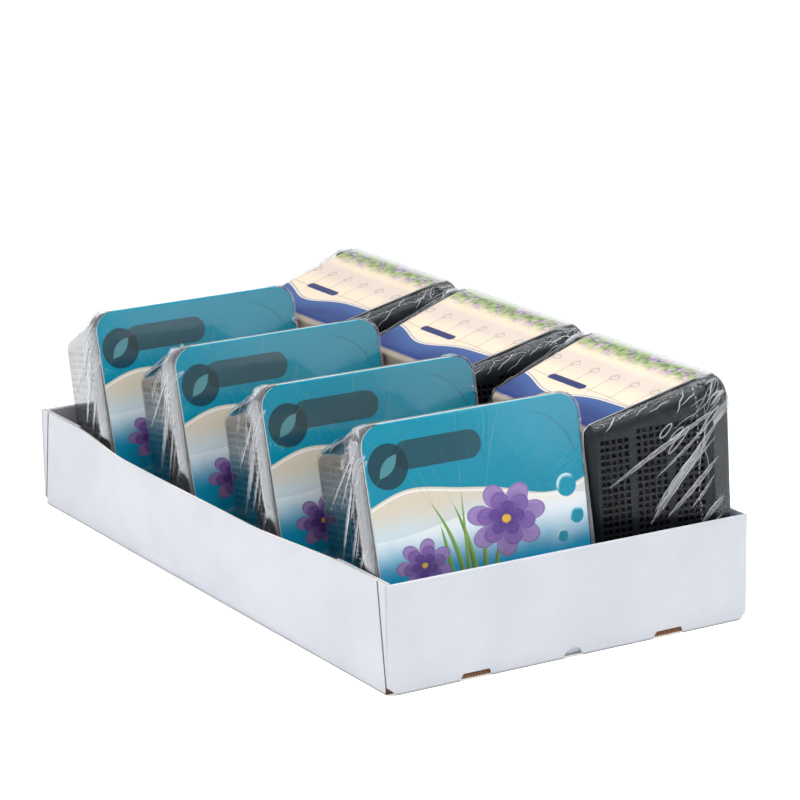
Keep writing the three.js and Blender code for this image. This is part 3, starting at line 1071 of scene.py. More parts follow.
@dataclass
class CoverCard:
    """Printed card: one sheet folded over the mouth, the upper rim, the top side and the base."""

    sizes: KitSizes
    bottom_half: float = 87
    corner: float = 16.5
    base_half: float = 61
    flap: float = 48
    flap_half: float = 57
    across_steps: int = 16
    bend: float = 1.1

    def line(self) -> np.ndarray:
        """The sheet's middle line, folds rounded, as rows of y, z and length along it."""
        sizes = self.sizes
        out = sizes.gap + sizes.card / 2
        top = sizes.rim_half + out
        shoulder = sizes.depth - sizes.chamfer
        corners = np.array([
            (-sizes.rim_half, out),
            (top, out),
            (sizes.rim_half - sizes.collar_taper + out, -sizes.collar),
            (sizes.half(shoulder) + out, -shoulder),
            (sizes.base_half - sizes.chamfer + out, -sizes.depth - out),
            (sizes.base_half - sizes.chamfer + sizes.gap - self.flap, -sizes.depth - out),
        ])
        points = [corners[0]]
        steps = (40, 6, 24, 3, 14)
        for index in range(1, len(corners)):
            start, end = corners[index - 1], corners[index]
            length = np.hypot(*(end - start))
            trim = min(self.bend, length * 0.4)
            first = start + (end - start) * (trim / length if index > 1 else 0)
            last = end - (end - start) * (trim / length if index < len(corners) - 1 else 0)
            share = np.linspace(0, 1, steps[index - 1] + 1)[:, None]
            run = first + (last - first) * share
            if index > 1:
                t = np.array([0.33, 0.67])[:, None]
                before = points[-1]
                arc = (1 - t) ** 2 * before + 2 * t * (1 - t) * start + t ** 2 * first
                points.extend(arc)
            points.extend(run if index > 1 else run[1:])
        line = np.array(points)
        length = np.concatenate([[0], np.cumsum(np.hypot(*np.diff(line, axis=0).T))])
        return np.column_stack([line, length])

    def half_width(self, length: np.ndarray) -> np.ndarray:
        """Half the sheet's width: straight tapers, with the front panel's corners rounded.

        Args:
            length: distance from the front panel's lower edge.

        Returns:
            Half widths.
        """
        sizes = self.sizes
        front = 2 * sizes.rim_half + sizes.gap
        side = np.interp(length, [0, front], [self.bottom_half, sizes.rim_half])
        low = np.clip((self.corner - length) / self.corner, 0, 1)
        high = np.clip((length - front + self.corner) / self.corner, 0, 1)
        round_off = 1 - np.sqrt(1 - np.maximum(low, high).clip(0, 0.9999) ** 2)
        panel = side - self.corner * round_off
        fold_half = sizes.rim_half - self.corner
        total = length[-1]
        strip = np.interp(
            length,
            [front, total - self.flap - 2, total - self.flap, total],
            [fold_half, self.base_half, self.base_half, self.flap_half],
        )
        return np.where(length <= front, panel, strip)

    def stations(self) -> np.ndarray:
        """The middle line with extra stations where the front panel's corners are round."""
        line = self.line()
        front = 2 * self.sizes.rim_half + self.sizes.gap
        quarter = np.linspace(0, pi / 2, 9)
        lengths = np.unique(np.round(np.concatenate([
            line[:, 2],
            self.corner * (1 - np.cos(quarter)),
            front - self.corner * (1 - np.cos(quarter)),
        ]), 4))
        y = np.interp(lengths, line[:, 2], line[:, 0])
        z = np.interp(lengths, line[:, 2], line[:, 1])
        return np.column_stack([y, z, lengths])

    def patches(self) -> list[Patch]:
        """The sheet's outer face, its reverse and its cut edge."""
        stations = self.stations()
        y, z, length = stations.T
        slope = np.column_stack([np.gradient(y, length), np.gradient(z, length)])
        slope /= np.hypot(*slope.T)[:, None]
        normal = np.column_stack([-slope[:, 1], slope[:, 0]])
        across = np.linspace(-1, 1, self.across_steps + 1)
        half = self.half_width(length)
        x = half[:, None] * across[None]
        faces = []
        thick = self.sizes.card / 2
        for sign in (1, -1):
            offset = normal * (sign * thick)
            faces.append(np.stack([
                x,
                np.broadcast_to((y + offset[:, 0])[:, None], x.shape),
                np.broadcast_to((z + offset[:, 1])[:, None], x.shape),
            ], axis=-1))
        up = np.broadcast_to((length - self.sizes.rim_half)[:, None], x.shape)
        chart = np.stack([x, up], axis=-1) / 100
        outer, inner = faces
        if normal[0, 1] < 0:
            outer, inner = inner, outer
        edge = np.stack([border_loop(outer), border_loop(inner)])
        loop = np.concatenate([edge, edge[:, :1]], axis=1)
        return [
            grid_patch(outer, 0, chart=chart),
            grid_patch(inner, 1, flip=True),
            grid_patch(loop, 1, flip=True),
        ]

    def build(self, place: KitPlace, dress: Sequence[bpy.types.Material]) -> bpy.types.Object:
        """Builds the card in its place and lets it stand for its CAD node."""
        patches = place.carry(self.patches())
        piece = make_piece(f"cover_card_{place.name}", patches, dress, sharp=40)
        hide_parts(f"card_{place.name}")
        return piece


@dataclass
class FilmSkin:
    """Shrink film round a kit: a thin skin, wrinkled most at its corners, vented in the base."""

    sizes: KitSizes
    flat_steps: int = 26
    arc_steps: int = 12
    fold_height: float = 0.8
    vent_radius: float = 6.0
    vent_height: float = -25.0
    corner_share: float = 0.055
    folds: int = 9

    def rings(self, half: np.ndarray, high: np.ndarray, radius: np.ndarray, z: np.ndarray) -> tuple:
        """Rounded rings, one for each half width, with the card's side standing higher.

        Args:
            half: half the width.
            radius: corner radius.

        Returns:
            Points as rings, stations and three axes; outward directions; side counts.
        """
        flat = np.linspace(0, 1, self.flat_steps + 1)[1:-1]
        arc = np.linspace(0, 90, self.arc_steps + 1)
        corners = [(1, -1, -90), (1, 1, 0), (-1, 1, 90), (-1, -1, 180)]
        points, outward, counts = [], [], []
        for index, (right, up, start) in enumerate(corners):
            angle = np.radians(start + arc)
            centre_x = (right * (half - radius))[:, None]
            level = np.where(up > 0, high, half)
            centre_y = (up * (level - radius))[:, None]
            ring_x = centre_x + radius[:, None] * np.cos(angle)[None]
            ring_y = centre_y + radius[:, None] * np.sin(angle)[None]
            points.append(np.stack([ring_x, ring_y], axis=-1))
            ways_round = np.column_stack([np.cos(angle), np.sin(angle)])
            outward.append(np.broadcast_to(ways_round, (len(half), len(angle), 2)))
            counts.append(index + np.linspace(-self.corner_share, self.corner_share, len(angle)))
        full, ways, sides = [], [], []
        for index in range(4):
            after = (index + 1) % 4
            full.append(points[index])
            ways.append(outward[index])
            sides.append(counts[index])
            start, end = points[index][:, -1:], points[after][:, :1]
            full.append(start + (end - start) * flat[None, :, None])
            ways.append(np.broadcast_to(outward[index][:, -1:], (len(half), len(flat), 2)))
            sides.append(index + self.corner_share + (1 - 2 * self.corner_share) * flat)
        ring = np.concatenate(full, axis=1)
        axis = np.broadcast_to(z[:, None, None], (*ring.shape[:2], 1))
        placed = np.concatenate([ring, axis], axis=-1)
        return placed, np.concatenate(ways, axis=1), np.concatenate(sides)

    def profile(self) -> np.ndarray:
        """The skin's run from the vent's plane over the base, up the side and onto the front.

        Returns:
            Rows of half width, upper height, radius, z, chart depth and wrinkle share.
        """
        sizes = self.sizes
        grow = sizes.gap + sizes.film / 2
        card = sizes.card + sizes.gap
        back = -sizes.depth - card - grow
        rows = []
        base = sizes.base_half - sizes.chamfer + grow
        for share in (0.02, 0.35, 0.7, 0.92):
            rows.append(
                (base * share, (base + card) * share, 10 * share, back, 2.0 - share * 0.6, 0.0)
            )
        rows.append((base, base + card, 9, back, 1.15, 0.0))
        shoulder = sizes.depth - sizes.chamfer
        start, end = shoulder + card / 2, sizes.collar + 1
        for share in np.linspace(0, 1, 30):
            depth = start + (end - start) * share
            low = sizes.half(start) + grow
            high = sizes.rim_half - sizes.collar_taper + grow
            half = low + (high - low) * share
            radius = 10 + 5 * share
            rows.append((half, half + card, radius, -depth, depth / 100, 0.35 + 0.65 * share))
        for depth in (sizes.collar * 0.66, sizes.collar * 0.33, 0.0):
            half = sizes.rim_half + grow - sizes.collar_taper * depth / sizes.collar
            rows.append((half, half + card, 15, -depth, depth / 100, 0.6))
        out = card + grow
        half = sizes.rim_half + grow
        rows.append((half - 0.2, half + card - 0.2, 15, out - 0.5, -0.005, 0.1))
        rows.append((half - 0.8, half + card - 0.8, 14.5, out, -0.012, 0.0))
        for share in (0.97, 0.9, 0.75, 0.5, 0.25, 0.02):
            rows.append(
                (half * share, (half + card) * share, 14.5 * share, out, -1 + share * 0.95, 0.0)
            )
        return np.array(rows)

    def build(self, place: KitPlace, film: bpy.types.Material, seed: int) -> bpy.types.Object:
        """Builds the skin in its place and lets it stand for its CAD node.

        Args:
            film: its finish.
            seed: picks this skin's own wrinkles.

        Returns:
            The piece.
        """
        half, high, radius, z, chart_depth, loose = self.profile().T
        points, outward, counts = self.rings(half, high, radius, z)
        lift = self.wrinkles(counts, chart_depth, loose, seed)
        points[..., :2] += outward * lift[..., None]
        rows, columns = points.shape[:2]
        faces = grid_faces(rows, columns, closed=True)
        side = np.append(counts, counts[0] + 4)
        charts = np.stack(np.meshgrid(side, chart_depth), axis=-1).reshape(-1, 2)
        wide = grid_faces(rows, columns + 1)
        keep = self.vent_mask(points, faces)
        patch = Patch(points.reshape(-1, 3), faces[keep], 0, charts[wide][keep])
        piece = make_piece(f"shrink_film_{place.name}", place.carry([patch]), [film], sharp=60)
        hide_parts(f"film_{place.name}")
        return piece

    def vent_mask(self, points: np.ndarray, faces: np.ndarray) -> np.ndarray:
        """Which faces stay once the round vent in the base is left open."""
        flat = points.reshape(-1, 3)
        middle = flat[faces].mean(axis=1)
        away = np.hypot(middle[:, 0], middle[:, 1] - self.vent_height)
        return ~((away < self.vent_radius) & (middle[:, 2] < -self.sizes.depth))

    def wrinkles(
        self, counts: np.ndarray, depth: np.ndarray, loose: np.ndarray, seed: int
    ) -> np.ndarray:
        """How far the skin stands off: folds, each a cosine's sixth power, strongest at corners.

        Args:
            counts: side count of each station.
            depth: chart depth of each ring.
            loose: how loose the film is at each ring.
            seed: picks the phases.

        Returns:
            Heights in millimetres by ring and station.
        """
        chance = np.random.default_rng(seed)
        near = np.exp(-(((counts + 0.5) % 1 - 0.5) / 0.10) ** 2)
        total = np.zeros((len(depth), len(counts)))
        for _ in range(self.folds):
            often = chance.uniform(14, 46)
            slant = chance.uniform(-2.4, 2.4)
            phase = chance.uniform(0, 2 * pi)
            wave = np.cos(counts[None] * often + depth[:, None] * slant * often / 14 + phase)
            total += np.maximum(wave, 0) ** 6 * chance.uniform(0.15, 0.5)
        share = (0.25 + 0.75 * near)[None] * loose[:, None]
        return np.minimum(total * share, 1.0) * self.fold_height


class FoldKind(Enum):
    """Kinds of gathered strip, and how high in millimetres the middle of each stands."""

    PLEAT = 0.6
    CREASE = 0.35
    KNOT = 1.9


@dataclass
class FilmPleats:
    """A place on the skin is two numbers in millimetres: how far down the side from the end of the
    upper corner's arc, negative on the arc, and how deep below the rim, negative on the front.
    """

    sizes: KitSizes
    arc: float = 15
    stand_off: float = 0.25
    fullness: float = 1.4
    loop_width: float = 0.75
    loops: int = 7
    deep_loops: int = 4
    knots: int = 4
    glints: int = 7
    stitch: float = 3.4
    stitch_length: float = 1.7
    band_reach: tuple = (-16, 84)
    band_bare: tuple = (5.4, 0.9)
    band_depths: tuple = (0.4, 4, 9, 13.5)
    starts: tuple = (
        (5, 8, 25, 88, 2.4), (11, 12, 34, 52, 1.4), (14, 10, 45, 98, 3.8), (26, 12, 45, 36, 1.2),
        (32, 24, 45, 56, 3.6), (44, 10, 43, 54, 3.2), (58, 14, 44, 28, 1.6), (72, 6, 42, 28, 3.0),
        (90, 8, 44, 54, 2.6), (110, 12, 46, 40, 2.2),
    )
    wanderers: tuple = (
        *[((-20, 2), (0, 5), (-9, 12), (18, 46))] * 5,
        *[((-4, 8), (12, 22), (40, 78), (17, 26))] * 2,
    )

    def skin(self, along: np.ndarray, depth: np.ndarray, lift: np.ndarray) -> np.ndarray:
        """Points on the left side's film: a straight side, then a quarter arc, then the upper side.

        Args:
            along: distance down the side from the end of the arc.
            depth: distance below the rim.
            lift: how far the points stand off.
        """
        sizes = self.sizes
        shoulder = sizes.depth - sizes.chamfer
        inward = np.minimum(depth, 0)
        off = sizes.gap + sizes.film + self.stand_off
        grow = off + np.where(depth < 0, 0, lift)
        rims = [sizes.rim_half, sizes.rim_half - sizes.collar_taper, sizes.half(shoulder)]
        half = np.interp(depth, [0, sizes.collar + 1, shoulder], rims) + inward
        radius = np.interp(depth, [0, shoulder], [self.arc, 10]) + inward
        angle = np.clip(along, -self.arc * pi / 2, 0) / self.arc
        past = np.minimum(along + self.arc * pi / 2, 0)
        high = half + sizes.card + sizes.gap
        front = sizes.card + sizes.gap + off + lift
        return np.stack([
            radius - half - (radius + grow) * np.cos(angle) - past,
            high - radius - np.maximum(along, 0) - (radius + grow) * np.sin(angle),
            np.where(depth < 0, front, -depth),
        ], axis=-1)

    def strip(self, path: np.ndarray, width: np.ndarray, kind: FoldKind, seed: float) -> Patch:
        """A strip along a path on the skin, raised as 1 - v^2, where v is -1 to 1 across it.

        Args:
            path: places along its middle.
            width: its width at each.
            kind: pleat, crease or knot.
            seed: shifts its streaks.
        """
        step = np.gradient(path, axis=0)
        step /= np.maximum(np.hypot(step[:, 0], step[:, 1]), 1e-6)[:, None]
        aside = np.stack([-step[:, 1], step[:, 0]], axis=-1)
        across = np.linspace(-1, 1, 5)
        spots = path[:, None] + aside[:, None] * (width[:, None] / 2 * across)[..., None]
        tent = np.broadcast_to(kind.value * (1 - across ** 2), spots.shape[:2])
        surface = self.skin(
            spots[..., 0], spots[..., 1], tent * np.minimum(1, width[:, None] / 1.2)
        )
        length = np.concatenate([[0], np.cumsum(np.hypot(*np.diff(path, axis=0).T))]) / 100 + seed
        # Creases and loops keep to the milky edge of the chart, so they show as pale lines: partly
        # creased film's own milkiness, partly painted glints.
        v = 0.72 + 0.28 * np.abs(across) if kind is FoldKind.CREASE else across
        chart = np.stack(np.broadcast_arrays(length[:, None], v[None]), axis=-1)
        return grid_patch(surface, 0, chart=chart)

    def pleat(self, start: Sequence[float], chance: np.random.Generator) -> Patch:
        """A pleat out of the rim: a slightly bent line whose width swells as a sine and ripples."""
        along, depth, angle, length, width = start
        heading = radians(angle + chance.uniform(-4, 4))
        length = min(length * chance.uniform(0.8, 1.1), (100 - depth) / cos(heading))
        t = np.linspace(0, 1, 26)
        bend = chance.uniform(-1.5, 1.5) * np.sin(pi * t)
        path = np.column_stack([
            along + chance.uniform(-3, 3) + t * length * sin(heading) + bend,
            depth + t * length * cos(heading),
        ])
        ripple = 1 + 0.10 * np.sin(t * 31 + chance.uniform(0, 6))
        ripple = ripple + 0.06 * np.sin(t * 67 + chance.uniform(0, 6))
        swell = np.sin(pi * np.clip(t, 0.02, 0.98)) ** 0.6
        swell = swell * width * self.fullness * chance.uniform(0.8, 1.2)
        return self.strip(path, swell * ripple, FoldKind.PLEAT, chance.uniform(0, 50))

    def crease(
        self,
        first: Sequence[float],
        last: Sequence[float],
        width: float,
        chance: np.random.Generator,
    ) -> Patch:
        """A thin wandering crease between two places: a straight line plus two sines across it."""
        t = np.linspace(0, 1, 28)
        start, end = np.array(first, float), np.array(last, float)
        aside = np.array([start[1] - end[1], end[0] - start[0]])
        aside /= np.hypot(*aside)
        wave = np.sin(t * chance.uniform(5, 11) + chance.uniform(0, 6)) * chance.uniform(0.5, 2.0)
        wave += np.sin(t * chance.uniform(18, 30)) * 0.3
        wave *= min(1, np.hypot(*(end - start)) / 40)
        path = start + (end - start) * t[:, None] + aside * (wave * np.sin(pi * t))[:, None]
        widths = width * (0.35 + 0.65 * np.sin(pi * t))
        return self.strip(path, widths, FoldKind.CREASE, chance.uniform(0, 50))

    def loop(
        self, spot: Sequence[float], size: Sequence[float], angle: float, seed: float
    ) -> Patch:
        """A thin closed fold round an ellipse."""
        turn = np.linspace(0, 2 * pi, 33)
        along, aside = size[0] * np.cos(turn), size[1] * np.sin(turn)
        way = radians(angle)
        path = np.column_stack([
            spot[0] + along * sin(way) + aside * cos(way),
            spot[1] + along * cos(way) - aside * sin(way),
        ])
        return self.strip(path, np.full(len(turn), self.loop_width), FoldKind.CREASE, seed)

    def band(self, lower: bool) -> Patch:
        """The doubled band round the rim, from the card's edge over the rim and down the collar."""
        along = np.linspace(*self.band_reach, 50)
        height = self.sizes.rim_half - self.arc - along
        height = -height if lower else height
        bare = np.interp(height, [-self.sizes.rim_half, self.sizes.rim_half], self.band_bare)
        bare = bare * smooth(-16, -6, along) + 0.4
        share = np.array([1.0, 0.5, 0.12])
        over = np.broadcast_to(self.band_depths, (len(along), len(self.band_depths)))
        depth = np.column_stack([-bare[:, None] * share, over])
        wide = np.broadcast_to(along[:, None], depth.shape)
        surface = self.skin(wide, depth, np.full(depth.shape, 0.05))
        v = np.linspace(2, 3, depth.shape[1])
        chart = np.stack(np.broadcast_arrays(along[:, None] / 100, v[None]), axis=-1)
        return grid_patch(surface, 0, chart=chart)

    def side(self, lower: bool, chance: np.random.Generator) -> list[Patch]:
        """All the gathers that run out of one rim corner over one side."""
        patches = [self.band(lower)]
        patches += [] if lower else [self.pleat(start, chance) for start in self.starts]
        for ranges in self.wanderers:
            spots = [chance.uniform(*limits) for limits in ranges]
            patches.append(self.crease(spots[:2], spots[2:], chance.uniform(0.3, 0.6), chance))
        for rank in range(self.loops):
            size = (chance.uniform(4, 12), chance.uniform(1.0, 2.4))
            reach = 60 if rank < self.deep_loops else 12
            spot = (chance.uniform(4, 30), chance.uniform(reach * 0.23, reach))
            patches.append(self.loop(spot, size, chance.uniform(25, 50), chance.uniform(0, 50)))
        for _ in range(self.knots):
            t = np.linspace(0, 1, 12)
            heading = chance.uniform(-0.9, 0.9)
            length = chance.uniform(9, 20)
            path = np.column_stack([
                chance.uniform(-20, -2) + t * length * sin(heading),
                chance.uniform(-1, 8) + t * length * cos(heading),
            ])
            width = np.sin(pi * np.clip(t, 0.03, 0.97)) * chance.uniform(1.5, 3.6)
            kind = FoldKind.CREASE if lower else FoldKind.KNOT
            patches.append(self.strip(path, width, kind, chance.uniform(0, 50)))
        for depth in np.linspace(10, 84, 0 if lower else self.glints):
            first = (chance.uniform(-20, -9), depth + chance.uniform(-4, 4))
            last = (chance.uniform(-13, 1), min(first[1] + chance.uniform(6, 18), 96))
            patches.append(self.crease(first, last, chance.uniform(0.5, 1.0), chance))
        seam = chance.uniform(22, 28)
        for start in np.arange(-14, 76, self.stitch):
            along = start + np.linspace(0, self.stitch_length, 3)
            path = np.column_stack([along, np.full(3, seam) + 0.4 * sin(start)])
            patches.append(self.strip(path, np.full(3, 0.5), FoldKind.CREASE, start))
        return patches

    def build(self, place: KitPlace, film: bpy.types.Material, seed: int) -> bpy.types.Object:
        """Args:
            film: their finish.

        Returns:
            The piece.
        """
        chance = np.random.default_rng(seed)
        patches = []
        for right in (False, True):
            for lower in (False, True):
                for patch in self.side(lower, chance):
                    patch.points = patch.points * [-1 if right else 1, -1 if lower else 1, 1]
                    if right == lower:
                        patch.faces = patch.faces[:, ::-1]
                        patch.charts = patch.charts[:, ::-1]
                    patches.append(patch)
        piece = make_piece(f"film_pleats_{place.name}", place.carry(patches), [film], sharp=80)
        return piece


class RowSide(Enum):
    """Which row a kit stands in, and the turn of its mouth in degrees."""

    LEFT = 0
    RIGHT = 90


KITS = (
    ("left_1", RowSide.LEFT, 96.2, 6.3, 12.3, 0.2),
    ("left_2", RowSide.LEFT, 90.8, 141.3, 12.3, 0.0),
    ("left_3", RowSide.LEFT, 92.0, 282.7, 12.3, 1.0),
    ("left_4", RowSide.LEFT, 93.1, 423.9, 12.3, 1.0),
    ("right_1", RowSide.RIGHT, 306.2, 99.5, 3.2, 0.2),
    ("right_2", RowSide.RIGHT, 306.2, 285.3, 3.2, 0.5),
    ("right_3", RowSide.RIGHT, 306.0, 471.1, 3.2, 0.2),
)


# Tray


@dataclass
class Tray:
    """The tray, folded from one sheet of coated board. Millimetres in, metres out."""

    LEFT_FOOT = 151.25
    RIGHT_FOOT = 160.25
    HALF_LENGTH = 285.0

    height: float = 82
    board: float = 1.5
    end_wall: float = 3.6
    left_bow: float = 12
    right_bow: float = 3
    sway: float = 0.25
    flap_length: float = 72
    flap_proud: float = 0.8
    tab_offset: float = 84
    tab_width: float = 26
    slot_height: float = 5.2
    slot_depth: float = 1.5
    notch_radius: float = 8
    notch_depth: float = 2.6
    clip_width: float = 8.0
    clip_height: float = 6.5
    clip_depth: float = 5.0
    crown: float = 1.8

    def bow(self, side: int, y: np.ndarray, z: np.ndarray) -> np.ndarray:
        """How far a long wall leans out: its bow times a rise and fall along it and a bulge up it.

        Args:
            side: -1 for the left wall, 1 for the right.
            y: distance from the tray's front.
            z: height.

        Returns:
            The lean in millimetres.
        """
        reach = self.left_bow if side < 0 else self.right_bow
        along = smooth(55, 190, y) * (1 - smooth(385, 510, y))
        up = np.interp(z, [0, 7, 14, 30, self.height], [0, 0.26, 0.43, 0.59, 1])
        return reach * along * up

    def wall_surface(self, side: int, inset: float, y: np.ndarray, z: np.ndarray) -> np.ndarray:
        """A long wall's face at an inset from its outer face.

        Args:
            side: -1 for the left wall, 1 for the right.
            inset: distance in from the outer face.
            y: distances from the tray's front.
            z: heights.

        Returns:
            Points as heights, distances and three axes, in metres.
        """
        foot = -self.LEFT_FOOT if side < 0 else self.RIGHT_FOOT
        far, up = np.meshgrid(y, z)
        sway = self.sway * np.sin(far / 37 + side) * smooth(0, 60, up)
        sway = sway * smooth(0, 40, far) * smooth(0, 40, 2 * self.HALF_LENGTH - far)
        x = foot + side * (self.bow(side, far, up) - inset + sway)
        return np.stack([x, far - self.HALF_LENGTH, up], axis=-1) * MM

    def slab(
        self, outer: np.ndarray, inner: np.ndarray, slots: tuple[int, int, int], flip: bool
    ) -> list[Patch]:
        """A closed slab between two grids, with slots for its outer face, inner face and edges."""
        loops = np.stack([border_loop(outer), border_loop(inner)])
        loops = np.concatenate([loops, loops[:, :1]], axis=1)
        return [
            grid_patch(outer, slots[0], flip=flip),
            grid_patch(inner, slots[1], flip=not flip),
            grid_patch(loops, slots[2], flip=not flip),
        ]

    def long_wall(self, side: int) -> list[Patch]:
        """A long wall and the corner flaps folded in behind its ends."""
        z = np.concatenate([[0, 0.8], np.linspace(3, self.height - 0.3, 16), [self.height]])
        y = np.linspace(0.1, 2 * self.HALF_LENGTH - 0.1, 115)
        flip = side < 0
        patches = self.slab(
            self.wall_surface(side, 0, y, z),
            self.wall_surface(side, self.board, y, z),
            (0, 0, 1),
            flip,
        )
        tall = np.concatenate([[1.5], np.linspace(4, self.height + self.flap_proud, 16)])
        for low, high in (
            (2, self.flap_length),
            (2 * self.HALF_LENGTH - self.flap_length, 2 * self.HALF_LENGTH - 2),
        ):
            span = np.linspace(low, high, 16)
            patches += self.slab(
                self.wall_surface(side, self.board + 0.05, span, tall),
                self.wall_surface(side, 2 * self.board, span, tall),
                (0, 0, 0),
                flip,
            )
        return patches

    def end_wall_patches(self, way: int) -> list[Patch]:
        """An end wall, its board rolled over the top: a y and z profile carried across the tray.

        Args:
            way: -1 for the front, 1 for the rear.

        Returns:
            The patches.
        """
        turn, crown = np.linspace(0, pi, 10), self.crown
        y = np.concatenate([[0, 0, 0], crown - crown * np.cos(turn), [self.end_wall] * 3, [0]])
        z = np.concatenate(
            [[0, 2, 40], self.height - crown + crown * np.sin(turn), [40, 2, 0], [0]]
        )
        left, right = 0.05 - self.LEFT_FOOT, self.RIGHT_FOOT - 0.05
        x = np.linspace(left, right, 80)
        across, index = np.meshgrid(x, np.arange(len(y)))
        far = np.broadcast_to(y[:, None], across.shape)
        up = np.broadcast_to(z[:, None], across.shape)
        place = way * (self.HALF_LENGTH - far)
        surface = np.stack([across, place, up], axis=-1) * MM
        faces = grid_faces(*surface.shape[:2], flip=way > 0)
        patch = Patch(surface.reshape(-1, 3), faces, 0)
        ends = []
        for column, turned in ((0, way < 0), (-1, way > 0)):
            ring = surface[:-1, column]
            count = len(ring) // 2
            pairs = np.stack([ring[:count], ring[::-1][:count]])
            ends.append(grid_patch(pairs, 0, flip=turned))
        return [patch, *ends]

    def prism(self, outline: np.ndarray, near: float, far: float, way: int, slot: int) -> Patch:
        """A prism from one depth to another through an end wall's face, for cutting a recess.

        Args:
            outline: its corners in the x and z plane, anticlockwise seen from the front.
            near: how far it stands out of the face.
            far: how deep it goes in.
            way: -1 for the front wall, 1 for the rear.
            slot: the material slot of the faces it leaves.

        Returns:
            A closed patch.
        """
        loops = []
        middle = outline.mean(axis=0)
        for depth, share in ((near, 0.0), (near, 1.0), (-far, 1.0), (-far, 0.0)):
            flat = middle + (outline - middle) * share
            place = np.full(len(flat), way * (self.HALF_LENGTH + depth))
            loops.append(np.column_stack([flat[:, 0], place, flat[:, 1]]))
        surface = np.stack(loops) * MM
        surface = np.concatenate([surface, surface[:, :1]], axis=1)
        return grid_patch(surface, slot, flip=way < 0)

    def recesses(self, way: int) -> list[Patch]:
        """An end wall's thumb notch, tab slots and clipped lower corners, as prisms to cut away."""
        middle = (self.RIGHT_FOOT - self.LEFT_FOOT) / 2
        angle = np.linspace(0, pi, 15)
        radius, below = self.notch_radius, -1.0
        arc = np.column_stack([radius * np.cos(angle), radius * np.sin(angle)])
        notch = np.concatenate([[[radius, below]], arc, [[-radius, below]]]) + [middle, 0]
        shapes = [(notch, self.notch_depth, 0)]
        half, top = self.tab_width / 2, self.slot_height
        slot = np.array([[half + 1, below], [half - 1, top], [3 - half, top], [-half - 1, below]])
        for offset in (-self.tab_offset, self.tab_offset):
            shapes.append((slot + [middle + offset, 0], self.slot_depth, 2))
        corner = np.array([[1.0, below], [1.0, self.clip_height], [-self.clip_width, below]])
        shapes.append((corner[::-1] * [-1, 1] + [-self.LEFT_FOOT, 0], self.clip_depth, 2))
        shapes.append((corner + [self.RIGHT_FOOT, 0], self.clip_depth, 2))
        return [self.prism(outline, 1.0, depth, way, slot) for outline, depth, slot in shapes]

    def tab(self, way: int, offset: float) -> Patch:
        """A locking tab's end in its slot: a sheet bulging by a cosine across and a hump up."""
        half = self.tab_width / 2 - 1.2
        x = np.linspace(-half, half, 9)
        middle = (self.RIGHT_FOOT - self.LEFT_FOOT) / 2 + offset
        z = np.array([0.1, 0.5, 1.8, 3.4, 4.4])
        sunk = np.array([0.9, 0.3, 0.15, 0.35, 0.9])
        across, up = np.meshgrid(x, z)
        inset = np.broadcast_to(sunk[:, None], across.shape) + 0.15 - 0.15 * np.cos(across / 5)
        place = way * (self.HALF_LENGTH - inset)
        sheet = np.stack([across + middle, place, up], axis=-1) * MM
        return grid_patch(sheet, 2, flip=way > 0)

    def floor(self) -> list[Patch]:
        """The floor: a flat sheet of board between the walls."""
        x = np.linspace(-self.LEFT_FOOT + 0.2, self.RIGHT_FOOT - 0.2, 24)
        y = np.linspace(-self.HALF_LENGTH + 0.2, self.HALF_LENGTH - 0.2, 40)
        across, far = np.meshgrid(x, y)
        top = np.stack([across, far, np.full_like(across, self.board)], axis=-1) * MM
        under = top * [1, 1, 0]
        return self.slab(top, under, (0, 0, 1), False)

    def build(self, dress: Sequence[bpy.types.Material]) -> list[bpy.types.Object]:
        """Builds the tray's pieces and lets them stand for the CAD node."""
        corners = [*self.recesses(-1)[-2:], *self.recesses(1)[-2:]]
        parts = (
            ("tray_floor", self.floor(), corners),
            ("tray_wall_left", self.long_wall(-1), corners),
            ("tray_wall_right", self.long_wall(1), corners),
            ("tray_end_front", self.end_wall_patches(-1), self.recesses(-1)),
            ("tray_end_rear", self.end_wall_patches(1), self.recesses(1)),
        )
        pieces = [
            cut_away(make_piece(name, patches, dress), cuts, dress) for name, patches, cuts in parts
        ]
        for way, name in ((-1, "front"), (1, "rear")):
            tabs = [self.tab(way, offset) for offset in (-self.tab_offset, self.tab_offset)]
            pieces.append(make_piece(f"tray_tabs_{name}", tabs, dress))
        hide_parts("tray")
        return pieces


# Studio


